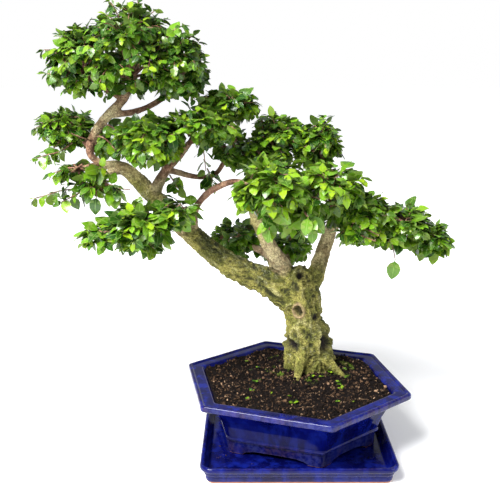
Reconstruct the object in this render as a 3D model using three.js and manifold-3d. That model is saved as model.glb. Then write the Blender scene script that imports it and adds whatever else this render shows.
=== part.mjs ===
// A privet bonsai: the tree, its soil, a glazed hexagonal pot and the drip tray below it.
// Millimetres, +Z up, seen from the front along +Y. The origin is on the tray's underside,
// straight below the middle of the tray and of the pot.
import * as THREE from 'three';
import { mergeVertices } from 'three/addons/utils/BufferGeometryUtils.js';
import Module from 'manifold-3d';

const wasm = await Module();
wasm.setup();

// Clearance between pieces that rest on each other, and round wood that stands in a hole.
const GAP = 0.3;
const SOCKET_GAP = 0.5;
// Details finer than this are smoothed away.
const SMOOTHING = 0.1;

// Drip tray: a rounded rectangle, with its section as [inset from the rim, height].
const TRAY_WIDTH = 241;
const TRAY_DEPTH = 261;
const TRAY_CORNER = 17;
const TRAY_CORNER_STEPS = 3;
const TRAY_FLOOR = 8;
const TRAY_SECTION = [
  [9.6, 0], [8.8, 1.4], [7.8, 2.4], [7, 5], [7.2, 7.6], [7.8, 8.8],
  [5.6, 10.2], [4.8, 12.4], [5.4, 14.4], [3.4, 15.4], [0.9, 16.8], [0, 19], [0.3, 21.6],
  [1.8, 23], [3.8, 23], [5.4, 22], [7.4, 17], [10, 10.6], [11.5, TRAY_FLOOR],
];

// Pot: a long hexagon with 120 degree corners, turned on the tray.
const POT_HALF_LENGTH = 155;
const POT_HALF_WIDTH = 125;
const POT_TURN = -0.34;
const POT_CORNER = 2.5;
const POT_BASE = TRAY_FLOOR + GAP;
const POT_UNDERSIDE = 20;
const POT_FLOOR = 30;
const POT_RIM = 85;
const FOOT_INSET = 39;
const POT_OUTSIDE = [
  [47.5, POT_UNDERSIDE], [46, POT_BASE], [FOOT_INSET, POT_BASE], [FOOT_INSET - 0.4, 26.5],
  [35.6, 27.2], [34.8, 28.6], [34.8, 30.2], [35.6, 31.6],
  [34.4, 37], [31.4, 47], [27, 57], [21.6, 66.5], [16.5, 74], [14.4, 76.8],
  [1.4, 76.8], [0, 78.4], [0, 83.2], [1.5, POT_RIM], [4.5, POT_RIM], [6, 83.9],
];
const POT_INSIDE = [
  [18.2, 83.4], [20, 81.2], [25, 74], [31.5, 64.5], [37.5, 53], [42, 42], [45, 33], [48, POT_FLOOR],
];

// The skirt is cut up between the feet by a cloud-shaped arch.
const FOOT_LENGTH = 18;
const ARCH_RISE = 6;
const ARCH_SHOULDER = 14;
const ARCH_CURL = 6;
const ARCH_LIP = 2;
const ARCH_STEPS = 3;
const SKIRT_REACH = 24;

// Drain holes in the pot's floor, with a square of plastic mesh over each.
const DRAIN_OFFSET = 45;
const DRAIN_RADIUS = 10;
const DRAIN_SIDES = 16;
const MESH_CELLS = 3;
const MESH_CELL = 7;
const MESH_BAR = 1.6;
const MESH_THICKNESS = 1.6;
const MESH_SIDE = MESH_CELLS * MESH_CELL + (MESH_CELLS + 1) * MESH_BAR;

// Soil: it fills the pot's inside, and is heaped a little at the trunk.
const SOIL_LIP = [22.8, 78.6];
const SOIL_EDGE = 81;
const SOIL_HEAP = 8;
const SOIL_HEAP_SPREAD = 70;
const SOIL_GRIT = 1.2;
const SOIL_TOP_INSETS = [26, 38, 56, 78, 102];
const SOIL_SIDE_STEPS = 3;

// Wood: every limb is a list of [x, y, z, radius] along its middle.
const TRUNK = [
  [22, 40, 54, 26], [22, 40, 70, 30], [22, 40, 86, 31.5], [20.5, 40, 106, 32], [19, 40, 130, 30.5],
  [13.5, 40, 153, 25], [10, 40, 175, 25], [6, 40, 198, 24], [7, 38.5, 214, 19], [8, 37, 226, 11],
];
const LEADER = [
  [11, 40, 172, 18], [-1, 40, 183, 21.5], [-13, 40, 192.5, 20.5], [-38, 40, 207, 18.5],
  [-65, 39, 220, 17], [-92, 38, 235, 15.8], [-118, 36, 256, 14.4], [-143, 34, 279, 12.8],
  [-171, 32, 311, 11.6], [-191, 30, 331, 10.6], [-212, 30, 353, 9.6], [-230, 31, 364, 7],
  [-249, 33, 366, 5.4], [-265, 34, 378, 5], [-263, 33, 396, 5.6], [-252, 31, 415, 6.2],
  [-234, 28, 434, 6], [-217, 24, 451, 5.2], [-207, 20, 474, 4],
];
const BRANCHES = [
  // Middle branch to the front pad
  [[3, 40, 188, 15], [-12, 38, 222, 12], [-33, 32, 257, 9.8], [-49, 25, 292, 9],
    [-56, 12, 318, 7.2], [-55, -6, 338, 5.4], [-47, -24, 350, 3.8]],
  // Right branch to the front pad
  [[13, 40, 186, 14], [26, 42, 208, 11.8], [35, 45, 235, 10.5], [44, 48, 263, 9.3],
    [50, 50, 284, 7.8], [52, 44, 305, 5.6], [45, 22, 327, 4.4], [37, -4, 341, 3.6]],
  // Upper right pad
  [[-52, 25, 288, 8], [-49, 38, 320, 6.6], [-39, 54, 354, 5.2], [-27, 68, 384, 3.8]],
  [[52, 46, 292, 6], [51, 58, 326, 4.8], [41, 65, 360, 4.2], [34, 66, 386, 3.4]],
  // Right pad
  [[47, 49, 275, 7], [65, 42, 296, 5.8], [83, 28, 304, 4.6], [95, 20, 304, 3.6]],
  // Bare branch from the leader to the front pad
  [[-137, 35, 274, 8], [-130, 24, 309, 4.7], [-117, 16, 328, 4.4], [-101, 6, 340, 4.2],
    [-81, -8, 349, 3.8], [-61, -26, 350, 3.2]],
  // Lower left pad
  [[-145, 33, 280, 8], [-153, 12, 291, 6.2], [-165, -8, 296, 5], [-183, -22, 296, 3.8]],
  // Middle pad
  [[-187, 30, 325, 8.5], [-175, 20, 347, 7], [-166, 8, 363, 5.8], [-169, -6, 385, 4.4],
    [-176, -12, 399, 3.6]],
  [[-166, 9, 362, 5.4], [-148, 6, 380, 4.6], [-133, 5, 398, 3.8], [-121, 4, 411, 3.2]],
  // Middle upper pad
  [[-133, 5, 398, 4.2], [-122, 14, 415, 4], [-108, 29, 429, 3.6], [-93, 44, 437, 3.4]],
  // Thin branch, back to the centre sprig
  [[-168, 10, 360, 5], [-158, 26, 358, 4.2], [-140, 44, 350, 3.8], [-120, 52, 347, 3.5],
    [-103, 56, 353, 3.3], [-84, 62, 383, 3]],
  // Left finger and left tuft
  [[-219, 30, 359, 6], [-239, 26, 356, 4.6], [-252, 15, 350, 4], [-257, 10, 344, 3.4]],
  [[-249, 33, 367, 4.8], [-265, 20, 364, 4.2], [-283, 8, 361, 3.4]],
  // Upper left pad
  [[-264, 34, 384, 4.8], [-275, 50, 394, 4.4], [-289, 64, 403, 4], [-301, 73, 409, 3.4]],
  // Crown, right and left
  [[-239, 29, 430, 5.2], [-221, 28, 431, 4.4], [-202, 27, 434, 4], [-181, 26, 443, 3.8],
    [-163, 25, 456, 3.5], [-150, 25, 473, 3]],
  [[-219, 25, 449, 4.9], [-239, 22, 462, 4.2], [-261, 20, 477, 3.2]],
  // Back pad
  [[-23, 40, 226, 10], [-33, 62, 238, 6.6], [-51, 88, 242, 5], [-69, 108, 245, 3.8]],
  [[-9, 44, 206, 10], [-9, 70, 222, 6.4], [-9, 95, 231, 4.8], [-9, 112, 234, 3.6]],
];
const ROOTS = [
  [[12, 17, 118, 9], [8, 8, 105, 7], [5, 1, 94, 5.5], [1, -6, 80, 4]],
  [[34, 23, 112, 11], [46, 17, 100, 7.5], [56, 14, 91, 5.5], [69, 12, 79, 3.6]],
  [[42, 50, 108, 11], [50, 56, 95, 8], [57, 64, 85, 6], [65, 73, 75, 3.6]],
  [[2, 36, 118, 13], [-2, 34, 104, 11.5], [-4, 31, 91, 9.5], [-6, 28, 77, 7]],
  [[4, 50, 112, 12], [-3, 58, 97, 9], [-7, 66, 85, 6.5], [-12, 75, 75, 4]],
  [[27, 60, 112, 12], [30, 72, 98, 9], [31, 81, 86, 6], [31, 88, 76, 3.4]],
];
const SCAR_SIDES = 7;
const SCAR_RINGS = 4;
const TRUNK_SIDES = 14;
const TRUNK_STEPS = 2;
const LEADER_SIDES = 8;
const BRANCH_SIDES = 5;
const FLUTE_DEPTH = 1.5;
const BARK_SWELLING = 0.6;

// Callused pruning scars on the front: [x, y, z, radius, depth of the hollow].
const SCARS = [
  [2, 17, 174, 9, 5], [5, 19, 219, 6, 4], [41, 16, 116, 9, 6], [-4, 18, 124, 7, 4],
];

// Leaf blades: larger than life, so that fewer of them cover a pad.
const LEAF_LENGTH = 40;
const LEAF_WIDTH = 26;
const LEAF_THICKNESS = 1.8;
const LEAF_ARCH = 4;
const LEAF_OUTLINE = 6;
const LEAF_STRETCH = 0.75;
const LEAF_BASE_WIDTH = 1.34;
const LEAF_TAPER = 0.6;
const LEAF_SUNK = 8;
const LEAF_ROOM = 1200;
const LOBE_WITH_FULL_LEAVES = 36;
const SPIRAL_STEPS = 600;
const GOLDEN_ANGLE = Math.PI * (3 - Math.sqrt(5));
const LEAF_TRIES = 6;
const LEAF_CLEARANCE = 0.6;
const LEAF_OUTWARD = 0.65;
const LEAF_DROOP = 0.4;
const LEAF_SKYWARD = 0.6;
const LEAF_TWIST = 0.35;
const LEAF_VARIATION = 0.3;

// A pad's core lies this far inside its outline. Its few faces are swelled to the same size.
const CORE_INSET = 17;
const CORE_SWELL = 1.1;
const CORE_SIDES = 7;
const CORE_RINGS = 4;
const LEAST_CORE = 4;
const LOBE_JOINT_RADIUS = 5;

// Twigs that reach out of a pad, with leaves in pairs and one at the end.
const TWIG_RADIUS = 2.4;
const TWIG_TAPER = 0.4;
const TWIG_LEAF_STEP = 17;
const TWIG_BARE_END = 0.35;
const TWIG_LEAF_SIZE = 0.8;
const TWIG_LEAF_FORWARD = 0.7;
const TWIG_LEAF_SAG = 0.15;
const TWIG_LEAF_SCATTER = 0.25;
const SEED = 20240607;

// Leaf pads. A lobe is [x, y, z, half width, half depth, height above, height below], and
// each lobe is grown onto the one before it. A twig is a list of points from inside a core
// out to its last leaf.
const PADS = {
  crown: {
    lobes: [[-263, 20, 490, 52, 68, 54, 46], [-208, 20, 494, 72, 88, 72, 50],
      [-152, 25, 486, 47, 66, 52, 48]],
    twigs: [],
  },
  upper_left: {
    lobes: [[-303, 72, 408, 45, 56, 30, 28], [-249, 76, 392, 27, 34, 24, 26]],
    twigs: [[[-305, 66, 402], [-315, 56, 388], [-323, 52, 378], [-327, 50, 372]]],
  },
  left_finger: {
    lobes: [[-249, 8, 343, 36, 34, 20, 26]],
    twigs: [[[-261, 8, 342], [-279, 3, 334], [-297, 0, 331], [-313, -2, 329]],
      [[-259, 14, 342], [-265, 30, 337], [-273, 42, 334]]],
  },
  left_tuft: {
    lobes: [[-287, 6, 361, 25, 26, 19, 20]],
    twigs: [[[-287, 6, 361], [-297, 0, 363], [-305, -4, 362]]],
  },
  lower_left: {
    lobes: [[-241, -20, 284, 34, 42, 22, 24], [-193, -25, 294, 48, 60, 34, 36],
      [-153, -22, 312, 34, 34, 22, 20]],
    twigs: [],
  },
  middle: {
    lobes: [[-182, -15, 400, 50, 60, 34, 36], [-119, 5, 414, 50, 58, 33, 28]],
    twigs: [[[-123, 6, 408], [-119, 26, 384], [-117, 34, 358]]],
  },
  middle_upper: {
    lobes: [[-85, 42, 442, 45, 50, 24, 24]],
    twigs: [],
  },
  centre_sprig: {
    lobes: [[-83, 62, 384, 26, 30, 24, 26], [-57, 62, 376, 28, 32, 30, 30]],
    twigs: [],
  },
  upper_right: {
    lobes: [[-19, 76, 394, 46, 58, 36, 33], [31, 68, 388, 36, 50, 38, 38]],
    twigs: [[[-19, 66, 404], [-27, 60, 416], [-30, 58, 424]]],
  },
  front: {
    lobes: [[-33, -45, 345, 58, 62, 42, 38], [-11, -30, 312, 40, 40, 26, 26], [34, -26, 341, 52, 60, 40, 40]],
    twigs: [[[-33, -60, 336], [-37, -74, 318], [-37, -80, 302]],
      [[5, -50, 332], [9, -66, 316], [13, -74, 304]]],
  },
  right: {
    lobes: [[81, 8, 298, 48, 62, 40, 40], [134, 15, 288, 48, 60, 32, 26],
      [174, 14, 270, 30, 36, 24, 22]],
    twigs: [[[115, 0, 290], [123, -6, 270], [126, -8, 250]]],
  },
  back: {
    lobes: [[-79, 116, 247, 42, 48, 30, 28], [-11, 120, 237, 46, 48, 26, 26]],
    twigs: [],
  },
};

const GLAZE = new THREE.MeshStandardMaterial({ color: 0x141b6e, roughness: 0.15, metalness: 0 });
const PLASTIC = new THREE.MeshStandardMaterial({ color: 0x222326, roughness: 0.6, metalness: 0 });
const EARTH = new THREE.MeshStandardMaterial({ color: 0x2a211b, roughness: 0.95, metalness: 0 });
const BARK = new THREE.MeshStandardMaterial({ color: 0x7d7a4a, roughness: 0.85, metalness: 0 });
const LEAF = new THREE.MeshStandardMaterial({ color: 0x3f7d1f, roughness: 0.4, metalness: 0 });

const UP = new THREE.Vector3(0, 0, 1);

// A seeded random number from 0 to 1.
let randomState = SEED;
function random() {
  randomState = (randomState + 0x6d2b79f5) | 0;
  let mixed = Math.imul(randomState ^ (randomState >>> 15), 1 | randomState);
  mixed = (mixed + Math.imul(mixed ^ (mixed >>> 7), 61 | mixed)) ^ mixed;
  return ((mixed ^ (mixed >>> 14)) >>> 0) / 4294967296;
}

function randomVector() {
  return new THREE.Vector3(random() - 0.5, random() - 0.5, random() - 0.5).multiplyScalar(2);
}

// A closed three.js geometry as a solid that can be joined and cut.
function toSolid(geometry) {
  geometry.deleteAttribute('normal');
  geometry.deleteAttribute('uv');
  const merged = mergeVertices(geometry, 1e-4);
  const mesh = new wasm.Mesh({
    numProp: 3,
    vertProperties: new Float32Array(merged.attributes.position.array),
    triVerts: new Uint32Array(merged.index.array),
  });
  return new wasm.Manifold(mesh);
}

function toMesh(name, solid, material) {
  const { vertProperties, triVerts } = solid.simplify(SMOOTHING).getMesh();
  const geometry = new THREE.BufferGeometry();
  geometry.setAttribute('position', new THREE.BufferAttribute(vertProperties, 3));
  geometry.setIndex(new THREE.BufferAttribute(triVerts, 1));
  geometry.computeVertexNormals();
  const mesh = new THREE.Mesh(geometry, material);
  mesh.name = name;
  return mesh;
}

function joined(solids) {
  return solids.reduce((all, solid) => all.add(solid));
}

// The largest body alone: loose scraps go, and a hollow with no way out is filled.
function oneBody(solid) {
  return solid.decompose().reduce((best, body) => (body.volume() > best.volume() ? body : best));
}

// A closed turned shape whose points are set by place(ring, side). The first and last rings
// are single points, and the side number runs once round.
function turned(rings, sides, place) {
  const profile = Array.from({ length: rings }, (_, k) => new THREE.Vector2(1, k));
  profile[0].x = 0;
  profile[rings - 1].x = 0;
  const geometry = new THREE.LatheGeometry(profile, sides);
  for (let side = 0; side <= sides; side += 1) {
    for (let ring = 0; ring < rings; ring += 1) {
      const { x, y, z } = place(ring, side % sides);
      geometry.attributes.position.setXYZ(side * rings + ring, x, y, z);
    }
  }
  return toSolid(geometry);
}

// A dish or pot: each [inset, height] of the section runs round the plan outline. The
// height may be a function of the place in the plan.
function vessel(section, outline) {
  const plans = section.map(([inset]) => outline(inset));
  const sides = plans[0].length;
  const centre = plans[0].reduce((sum, p) => sum.add(p), new THREE.Vector2()).divideScalar(sides);
  return turned(section.length + 2, sides, (ring, side) => {
    const row = THREE.MathUtils.clamp(ring - 1, 0, section.length - 1);
    const { x, y } = ring === row + 1 ? plans[row][side] : centre;
    const height = section[row][1];
    return new THREE.Vector3(x, y, height instanceof Function ? height(x, y) : height);
  });
}

function trayOutline(inset) {
  const x = TRAY_WIDTH / 2 - inset;
  const y = TRAY_DEPTH / 2 - inset;
  const r = TRAY_CORNER - inset;
  const quarter = Math.PI / 2;
  const centres = [[x - r, y - r], [r - x, y - r], [r - x, r - y], [x - r, r - y]];
  const arcs = centres.map(([cx, cy], k) => new THREE.EllipseCurve(
    cx, cy, r, r, k * quarter, (k + 1) * quarter));
  return arcs.flatMap((arc) => arc.getPoints(TRAY_CORNER_STEPS));
}

function tray() {
  return vessel(TRAY_SECTION, trayOutline);
}

// The six corners of the pot's plan, at an inset from the rim.
function potCorners(inset) {
  const end = POT_HALF_LENGTH - inset / Math.cos(Math.PI / 6);
  const flat = POT_HALF_WIDTH - inset;
  const corner = end - flat / Math.sqrt(3);
  const plan = [[end, 0], [corner, flat], [-corner, flat], [-end, 0], [-corner, -flat], [corner, -flat]];
  return plan.map(([x, y]) => new THREE.Vector2(x, y).rotateAround(new THREE.Vector2(), POT_TURN));
}

// The plan with each corner cut off short, and each side in a number of steps.
function potOutline(inset, steps = 1) {
  const corners = potCorners(inset);
  return corners.flatMap((corner, k) => {
    const next = corners[(k + 1) % 6];
    const along = next.clone().sub(corner).normalize().multiplyScalar(POT_CORNER);
    const from = corner.clone().add(along);
    const to = next.clone().sub(along);
    return Array.from({ length: steps + 1 }, (_, i) => from.clone().lerp(to, i / steps));
  });
}

// A bar with the arch's outline, which cuts the skirt along one side between two feet.
function archCutter(from, to) {
  const half = from.distanceTo(to) / 2 - FOOT_LENGTH;
  const top = POT_BASE + ARCH_RISE;
  const arch = new THREE.Shape();
  const curl = half - ARCH_CURL;
  const lip = half - ARCH_LIP;
  arch.moveTo(-half, POT_BASE - ARCH_LIP);
  arch.lineTo(half, POT_BASE - ARCH_LIP);
  arch.lineTo(half, POT_BASE);
  arch.bezierCurveTo(lip, top - 1, curl, top - ARCH_RISE / 2, half - ARCH_SHOULDER, top);
  arch.quadraticCurveTo(0, top + 1, ARCH_SHOULDER - half, top);
  arch.bezierCurveTo(-curl, top - ARCH_RISE / 2, -lip, top - 1, -half, POT_BASE);
  const geometry = new THREE.ExtrudeGeometry(arch, {
    depth: SKIRT_REACH, bevelEnabled: false, curveSegments: ARCH_STEPS,
  });
  const middle = from.clone().add(to).divideScalar(2);
  const along = to.clone().sub(from);
  geometry.translate(0, 0, -SKIRT_REACH / 2);
  geometry.rotateX(Math.PI / 2);
  geometry.rotateZ(Math.atan2(along.y, along.x));
  geometry.translate(middle.x, middle.y, 0);
  return toSolid(geometry);
}

function drainHole(x) {
  const geometry = new THREE.CylinderGeometry(DRAIN_RADIUS, DRAIN_RADIUS, POT_FLOOR, DRAIN_SIDES);
  geometry.rotateX(Math.PI / 2);
  geometry.translate(x, 0, (POT_FLOOR + POT_UNDERSIDE) / 2);
  geometry.rotateZ(POT_TURN);
  return toSolid(geometry);
}

function pot() {
  const feet = potCorners(FOOT_INSET);
  const arches = feet.map((corner, k) => archCutter(corner, feet[(k + 1) % 6]));
  const holes = [-DRAIN_OFFSET, DRAIN_OFFSET].map(drainHole);
  const body = vessel([...POT_OUTSIDE, ...POT_INSIDE], potOutline);
  return [...arches, ...holes].reduce((rest, cut) => rest.subtract(cut), body);
}

// A square of drain mesh, lying on the pot's floor over its hole.
function drainMesh(name, x) {
  const places = Array.from({ length: MESH_CELLS }, (_, k) => (
    (k - (MESH_CELLS - 1) / 2) * (MESH_CELL + MESH_BAR)));
  const cells = places.flatMap((cellX) => places.map((cellY) => {
    const cell = new THREE.BoxGeometry(MESH_CELL, MESH_CELL, 2 * MESH_THICKNESS);
    cell.translate(cellX, cellY, 0);
    return toSolid(cell);
  }));
  const plate = toSolid(new THREE.BoxGeometry(MESH_SIDE, MESH_SIDE, MESH_THICKNESS));
  const mesh = toMesh(name, cells.reduce((rest, cell) => rest.subtract(cell), plate), PLASTIC);
  const height = POT_FLOOR + GAP + MESH_THICKNESS / 2;
  mesh.position.set(x * Math.cos(POT_TURN), x * Math.sin(POT_TURN), height);
  mesh.rotation.z = POT_TURN;
  return mesh;
}

// The space that a drain mesh takes from the soil above it.
function meshPocket(x) {
  const side = MESH_SIDE + 2 * GAP;
  const geometry = new THREE.BoxGeometry(side, side, 2 * (MESH_THICKNESS + 2 * GAP));
  geometry.translate(x, 0, POT_FLOOR);
  geometry.rotateZ(POT_TURN);
  return toSolid(geometry);
}

// A limb: a round section with a radius at each point, carried along a smooth curve.
function limb(points, sides, { steps = 1, extra = 0, bark = () => 0 } = {}) {
  const curve = new THREE.CatmullRomCurve3(points.map(([x, y, z]) => new THREE.Vector3(x, y, z)));
  const last = (points.length - 1) * steps;
  const centres = Array.from({ length: last + 1 }, (_, k) => curve.getPoint(k / last));
  const tangents = centres.map((_, k) => curve.getTangent(k / last));
  const radii = centres.map((_, k) => {
    const point = Math.min(Math.floor(k / steps), points.length - 2);
    return THREE.MathUtils.lerp(points[point][3], points[point + 1][3], k / steps - point) + extra;
  });
  const across = new THREE.Vector3(0, 1, 0).cross(tangents[0]);
  const normals = tangents.map((tangent) => across.projectOnPlane(tangent).normalize().clone());
  centres[0].addScaledVector(tangents[0], -extra);
  centres[last].addScaledVector(tangents[last], extra);
  return turned(last + 3, sides, (ring, side) => {
    const k = THREE.MathUtils.clamp(ring - 1, 0, last);
    if (ring !== k + 1) return centres[k];
    const turn = (2 * Math.PI * side) / sides;
    const outward = normals[k].clone().applyAxisAngle(tangents[k], turn);
    return centres[k].clone().addScaledVector(outward, radii[k] + bark(turn, k));
  });
}

// Old bark: shallow flutes that twist as they climb, and swellings along the length.
function trunkBark(turn, k) {
  const flutes = FLUTE_DEPTH * (Math.sin(4 * turn + 0.5 * k) + 0.8 * Math.sin(2 * turn - 0.9 * k));
  return flutes + BARK_SWELLING * Math.sin(1.7 * k);
}

function leaderBark(turn, k) {
  return BARK_SWELLING * (Math.sin(3 * turn + 0.8 * k) + Math.sin(2.3 * k));
}

// All the limbs as one solid. With extra it is the hole that they stand in.
function wood(extra = 0) {
  return joined([
    limb(TRUNK, TRUNK_SIDES, { steps: TRUNK_STEPS, extra, bark: trunkBark }),
    limb(LEADER, LEADER_SIDES, { extra, bark: leaderBark }),
    ...[...BRANCHES, ...ROOTS].map((points) => limb(points, BRANCH_SIDES, { extra })),
  ]);
}

function ball(x, y, z, radius, depth) {
  const geometry = new THREE.SphereGeometry(1, SCAR_SIDES, SCAR_RINGS);
  geometry.scale(radius, depth, radius);
  geometry.translate(x, y, z);
  return toSolid(geometry);
}

// A pruning scar: a lip of callus round a small hollow.
function scarred(wholeTree, [x, y, z, radius, depth]) {
  const lip = ball(x, y, z, radius, depth);
  const hollow = ball(x, y - depth, z, radius / 2, depth);
  return wholeTree.add(lip).subtract(hollow);
}

function tree() {
  return oneBody(SCARS.reduce(scarred, wood()));
}

// The soil's surface: heaped at the trunk, with a little grit.
function soilHeight(x, y) {
  const fromTrunk = Math.hypot(x - TRUNK[0][0], y - TRUNK[0][1]) / SOIL_HEAP_SPREAD;
  const wave = Math.sin(0.21 * x + 0.13 * y) * Math.cos(0.17 * y - 0.11 * x);
  return SOIL_EDGE + SOIL_HEAP * Math.exp(-fromTrunk * fromTrunk) + SOIL_GRIT * wave;
}

function soil() {
  const wall = POT_INSIDE.filter(([, z]) => z < SOIL_EDGE).reverse();
  const section = [
    ...wall.map(([inset, z]) => [inset + GAP, z + GAP]),
    SOIL_LIP,
    ...SOIL_TOP_INSETS.map((inset) => [inset, soilHeight]),
  ];
  const fill = vessel(section, (inset) => potOutline(inset, SOIL_SIDE_STEPS));
  const holes = [meshPocket(-DRAIN_OFFSET), meshPocket(DRAIN_OFFSET), wood(SOCKET_GAP)];
  return oneBody(holes.reduce((rest, hole) => rest.subtract(hole), fill));
}

// A blade: a ball of few faces drawn out to a pointed oval and arched along its length.
// It starts at base and runs along, with its upper face towards above.
function blade(base, along, above, size = 1) {
  const geometry = new THREE.SphereGeometry(1, LEAF_OUTLINE, 2);
  const normal = above.clone().projectOnPlane(along).normalize();
  const side = new THREE.Vector3().crossVectors(along, normal);
  const position = geometry.attributes.position;
  for (let i = 0; i < position.count; i += 1) {
    const [x, y, z] = [position.getX(i), position.getY(i), position.getZ(i)];
    const reach = ((x + 1) / 2) ** LEAF_STRETCH;
    const width = z * (LEAF_WIDTH / 2) * (LEAF_BASE_WIDTH - LEAF_TAPER * reach);
    const lift = LEAF_ARCH * (1 - x * x) - z * z + (y * LEAF_THICKNESS) / 2;
    const point = base.clone().addScaledVector(along, reach * LEAF_LENGTH * size);
    point.addScaledVector(side, width * size).addScaledVector(normal, lift);
    position.setXYZ(i, point.x, point.y, point.z);
  }
  return toSolid(geometry);
}

// The half axes of a lobe in the half space of a direction.
function lobeAxes([, , , wide, deep, above, below], direction, inset) {
  const high = direction.z > 0 ? above : below;
  return new THREE.Vector3(wide - inset, deep - inset, Math.max(high - inset, LEAST_CORE));
}

function core(lobe) {
  const geometry = new THREE.SphereGeometry(1, CORE_SIDES, CORE_RINGS);
  geometry.rotateX(Math.PI / 2);
  const position = geometry.attributes.position;
  for (let i = 0; i < position.count; i += 1) {
    const point = new THREE.Vector3().fromBufferAttribute(position, i);
    point.multiply(lobeAxes(lobe, point, CORE_INSET)).multiplyScalar(CORE_SWELL);
    position.setXYZ(i, lobe[0] + point.x, lobe[1] + point.y, lobe[2] + point.z);
  }
  return toSolid(geometry);
}

// The wood hidden in the leaves that joins each lobe of a pad to the one before it.
function lobeJoints(lobes) {
  return lobes.slice(1).map((lobe, k) => {
    const ends = [lobes[k], lobe].map(([x, y, z]) => [x, y, z, LOBE_JOINT_RADIUS]);
    return limb(ends, BRANCH_SIDES);
  });
}

function twig(points) {
  const tapered = points.map(([x, y, z], k) => (
    [x, y, z, TWIG_RADIUS * (1 - (TWIG_TAPER * k) / points.length)]));
  return limb(tapered, BRANCH_SIDES);
}

// Places for leaves all over a lobe, outside the pad's other lobes: a spiral comes down it,
// and a leaf is due each time it has passed the room of one leaf.
function lobeSeats(lobe, others) {
  const [x, y, z, wide] = lobe;
  const size = Math.min(1, wide / LOBE_WITH_FULL_LEAVES);
  const places = [];
  let passed = 0;
  for (let step = 0; step < SPIRAL_STEPS; step += 1) {
    const height = 1 - (2 * step + 1) / SPIRAL_STEPS;
    const turn = places.length * GOLDEN_ANGLE;
    const ring = Math.sqrt(1 - height * height);
    const direction = new THREE.Vector3(ring * Math.cos(turn), ring * Math.sin(turn), height);
    const normal = direction.clone().divide(lobeAxes(lobe, direction, CORE_INSET));
    const crown = lobeAxes(lobe, direction, CORE_INSET / 2);
    const stretch = crown.x * crown.y * crown.z * direction.clone().divide(crown).length();
    passed += (4 * Math.PI * stretch) / SPIRAL_STEPS;
    if (passed > LEAF_ROOM * size * size) {
      passed -= LEAF_ROOM * size * size;
      const point = direction.multiply(lobeAxes(lobe, direction, CORE_INSET));
      places.push({ point: point.add(new THREE.Vector3(x, y, z)), normal: normal.normalize(), size });
    }
  }
  return places.filter(({ point }) => others.every((other) => {
    const from = point.clone().sub(new THREE.Vector3(...other));
    return from.divide(lobeAxes(other, from, CORE_INSET / 2)).length() > 1;
  }));
}

// A leaf on a lobe stands out and a little down, its face to the sky.
function leafOnLobe({ point, normal, size }) {
  const away = randomVector().addScaledVector(UP, -LEAF_DROOP).projectOnPlane(normal).normalize();
  const along = away.addScaledVector(normal, LEAF_OUTWARD).normalize();
  const above = normal.clone().addScaledVector(UP, LEAF_SKYWARD).addScaledVector(randomVector(), LEAF_TWIST);
  const base = point.clone().addScaledVector(along, -LEAF_SUNK * size);
  return blade(base, along, above, size * (1 + LEAF_VARIATION * (random() - 0.5)));
}

// Leaves on a twig stand in pairs, with one more at its end.
function twigLeaves(points) {
  const curve = new THREE.CatmullRomCurve3(points.map((p) => new THREE.Vector3(...p)));
  const pairs = Math.max(1, Math.round(curve.getLength() / TWIG_LEAF_STEP));
  const leaves = [];
  for (let pair = 1; pair <= pairs; pair += 1) {
    const place = pair / (pairs + TWIG_BARE_END);
    const point = curve.getPointAt(place);
    const tangent = curve.getTangentAt(place);
    const side = new THREE.Vector3().crossVectors(tangent, UP).normalize();
    [side, side.clone().negate()].forEach((outward) => {
      const along = outward.clone().addScaledVector(tangent, TWIG_LEAF_FORWARD);
      along.addScaledVector(UP, -TWIG_LEAF_SAG);
      leaves.push({ point: point.clone().addScaledVector(outward, TWIG_RADIUS / 2), along });
    });
  }
  const endLeaf = curve.getTangentAt(1).addScaledVector(UP, -TWIG_LEAF_SAG);
  leaves.push({ point: curve.getPointAt(1).addScaledVector(endLeaf, -TWIG_RADIUS), along: endLeaf });
  return leaves;
}

function leafOnTwig({ point, along }) {
  const direction = along.clone().normalize().addScaledVector(randomVector(), TWIG_LEAF_SCATTER);
  const above = UP.clone().addScaledVector(randomVector(), LEAF_TWIST);
  return blade(point, direction.normalize(), above, TWIG_LEAF_SIZE * (1 + LEAF_VARIATION * (random() - 0.5)));
}

// What a new leaf keeps clear of: the wood, every leaf, and the cores of other pads.
const standing = [];

function stand(solid, coreOf = null) {
  standing.push({ solid, coreOf, box: solid.boundingBox() });
}

function isClear(solid, pad) {
  const { min, max } = solid.boundingBox();
  return standing.every((other) => {
    if (other.coreOf === pad) return true;
    const apart = [0, 1, 2].some((i) => (
      min[i] > other.box.max[i] + LEAF_CLEARANCE || max[i] < other.box.min[i] - LEAF_CLEARANCE));
    return apart || solid.minGap(other.solid, 2 * LEAF_CLEARANCE) > LEAF_CLEARANCE;
  });
}

// A leaf is turned until it is clear of all that stands, or it is left out.
function clearLeaf(make, pad) {
  for (let attempt = 0; attempt < LEAF_TRIES; attempt += 1) {
    const leaf = make();
    if (isClear(leaf, pad)) {
      stand(leaf);
      return [leaf];
    }
  }
  return [];
}

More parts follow.
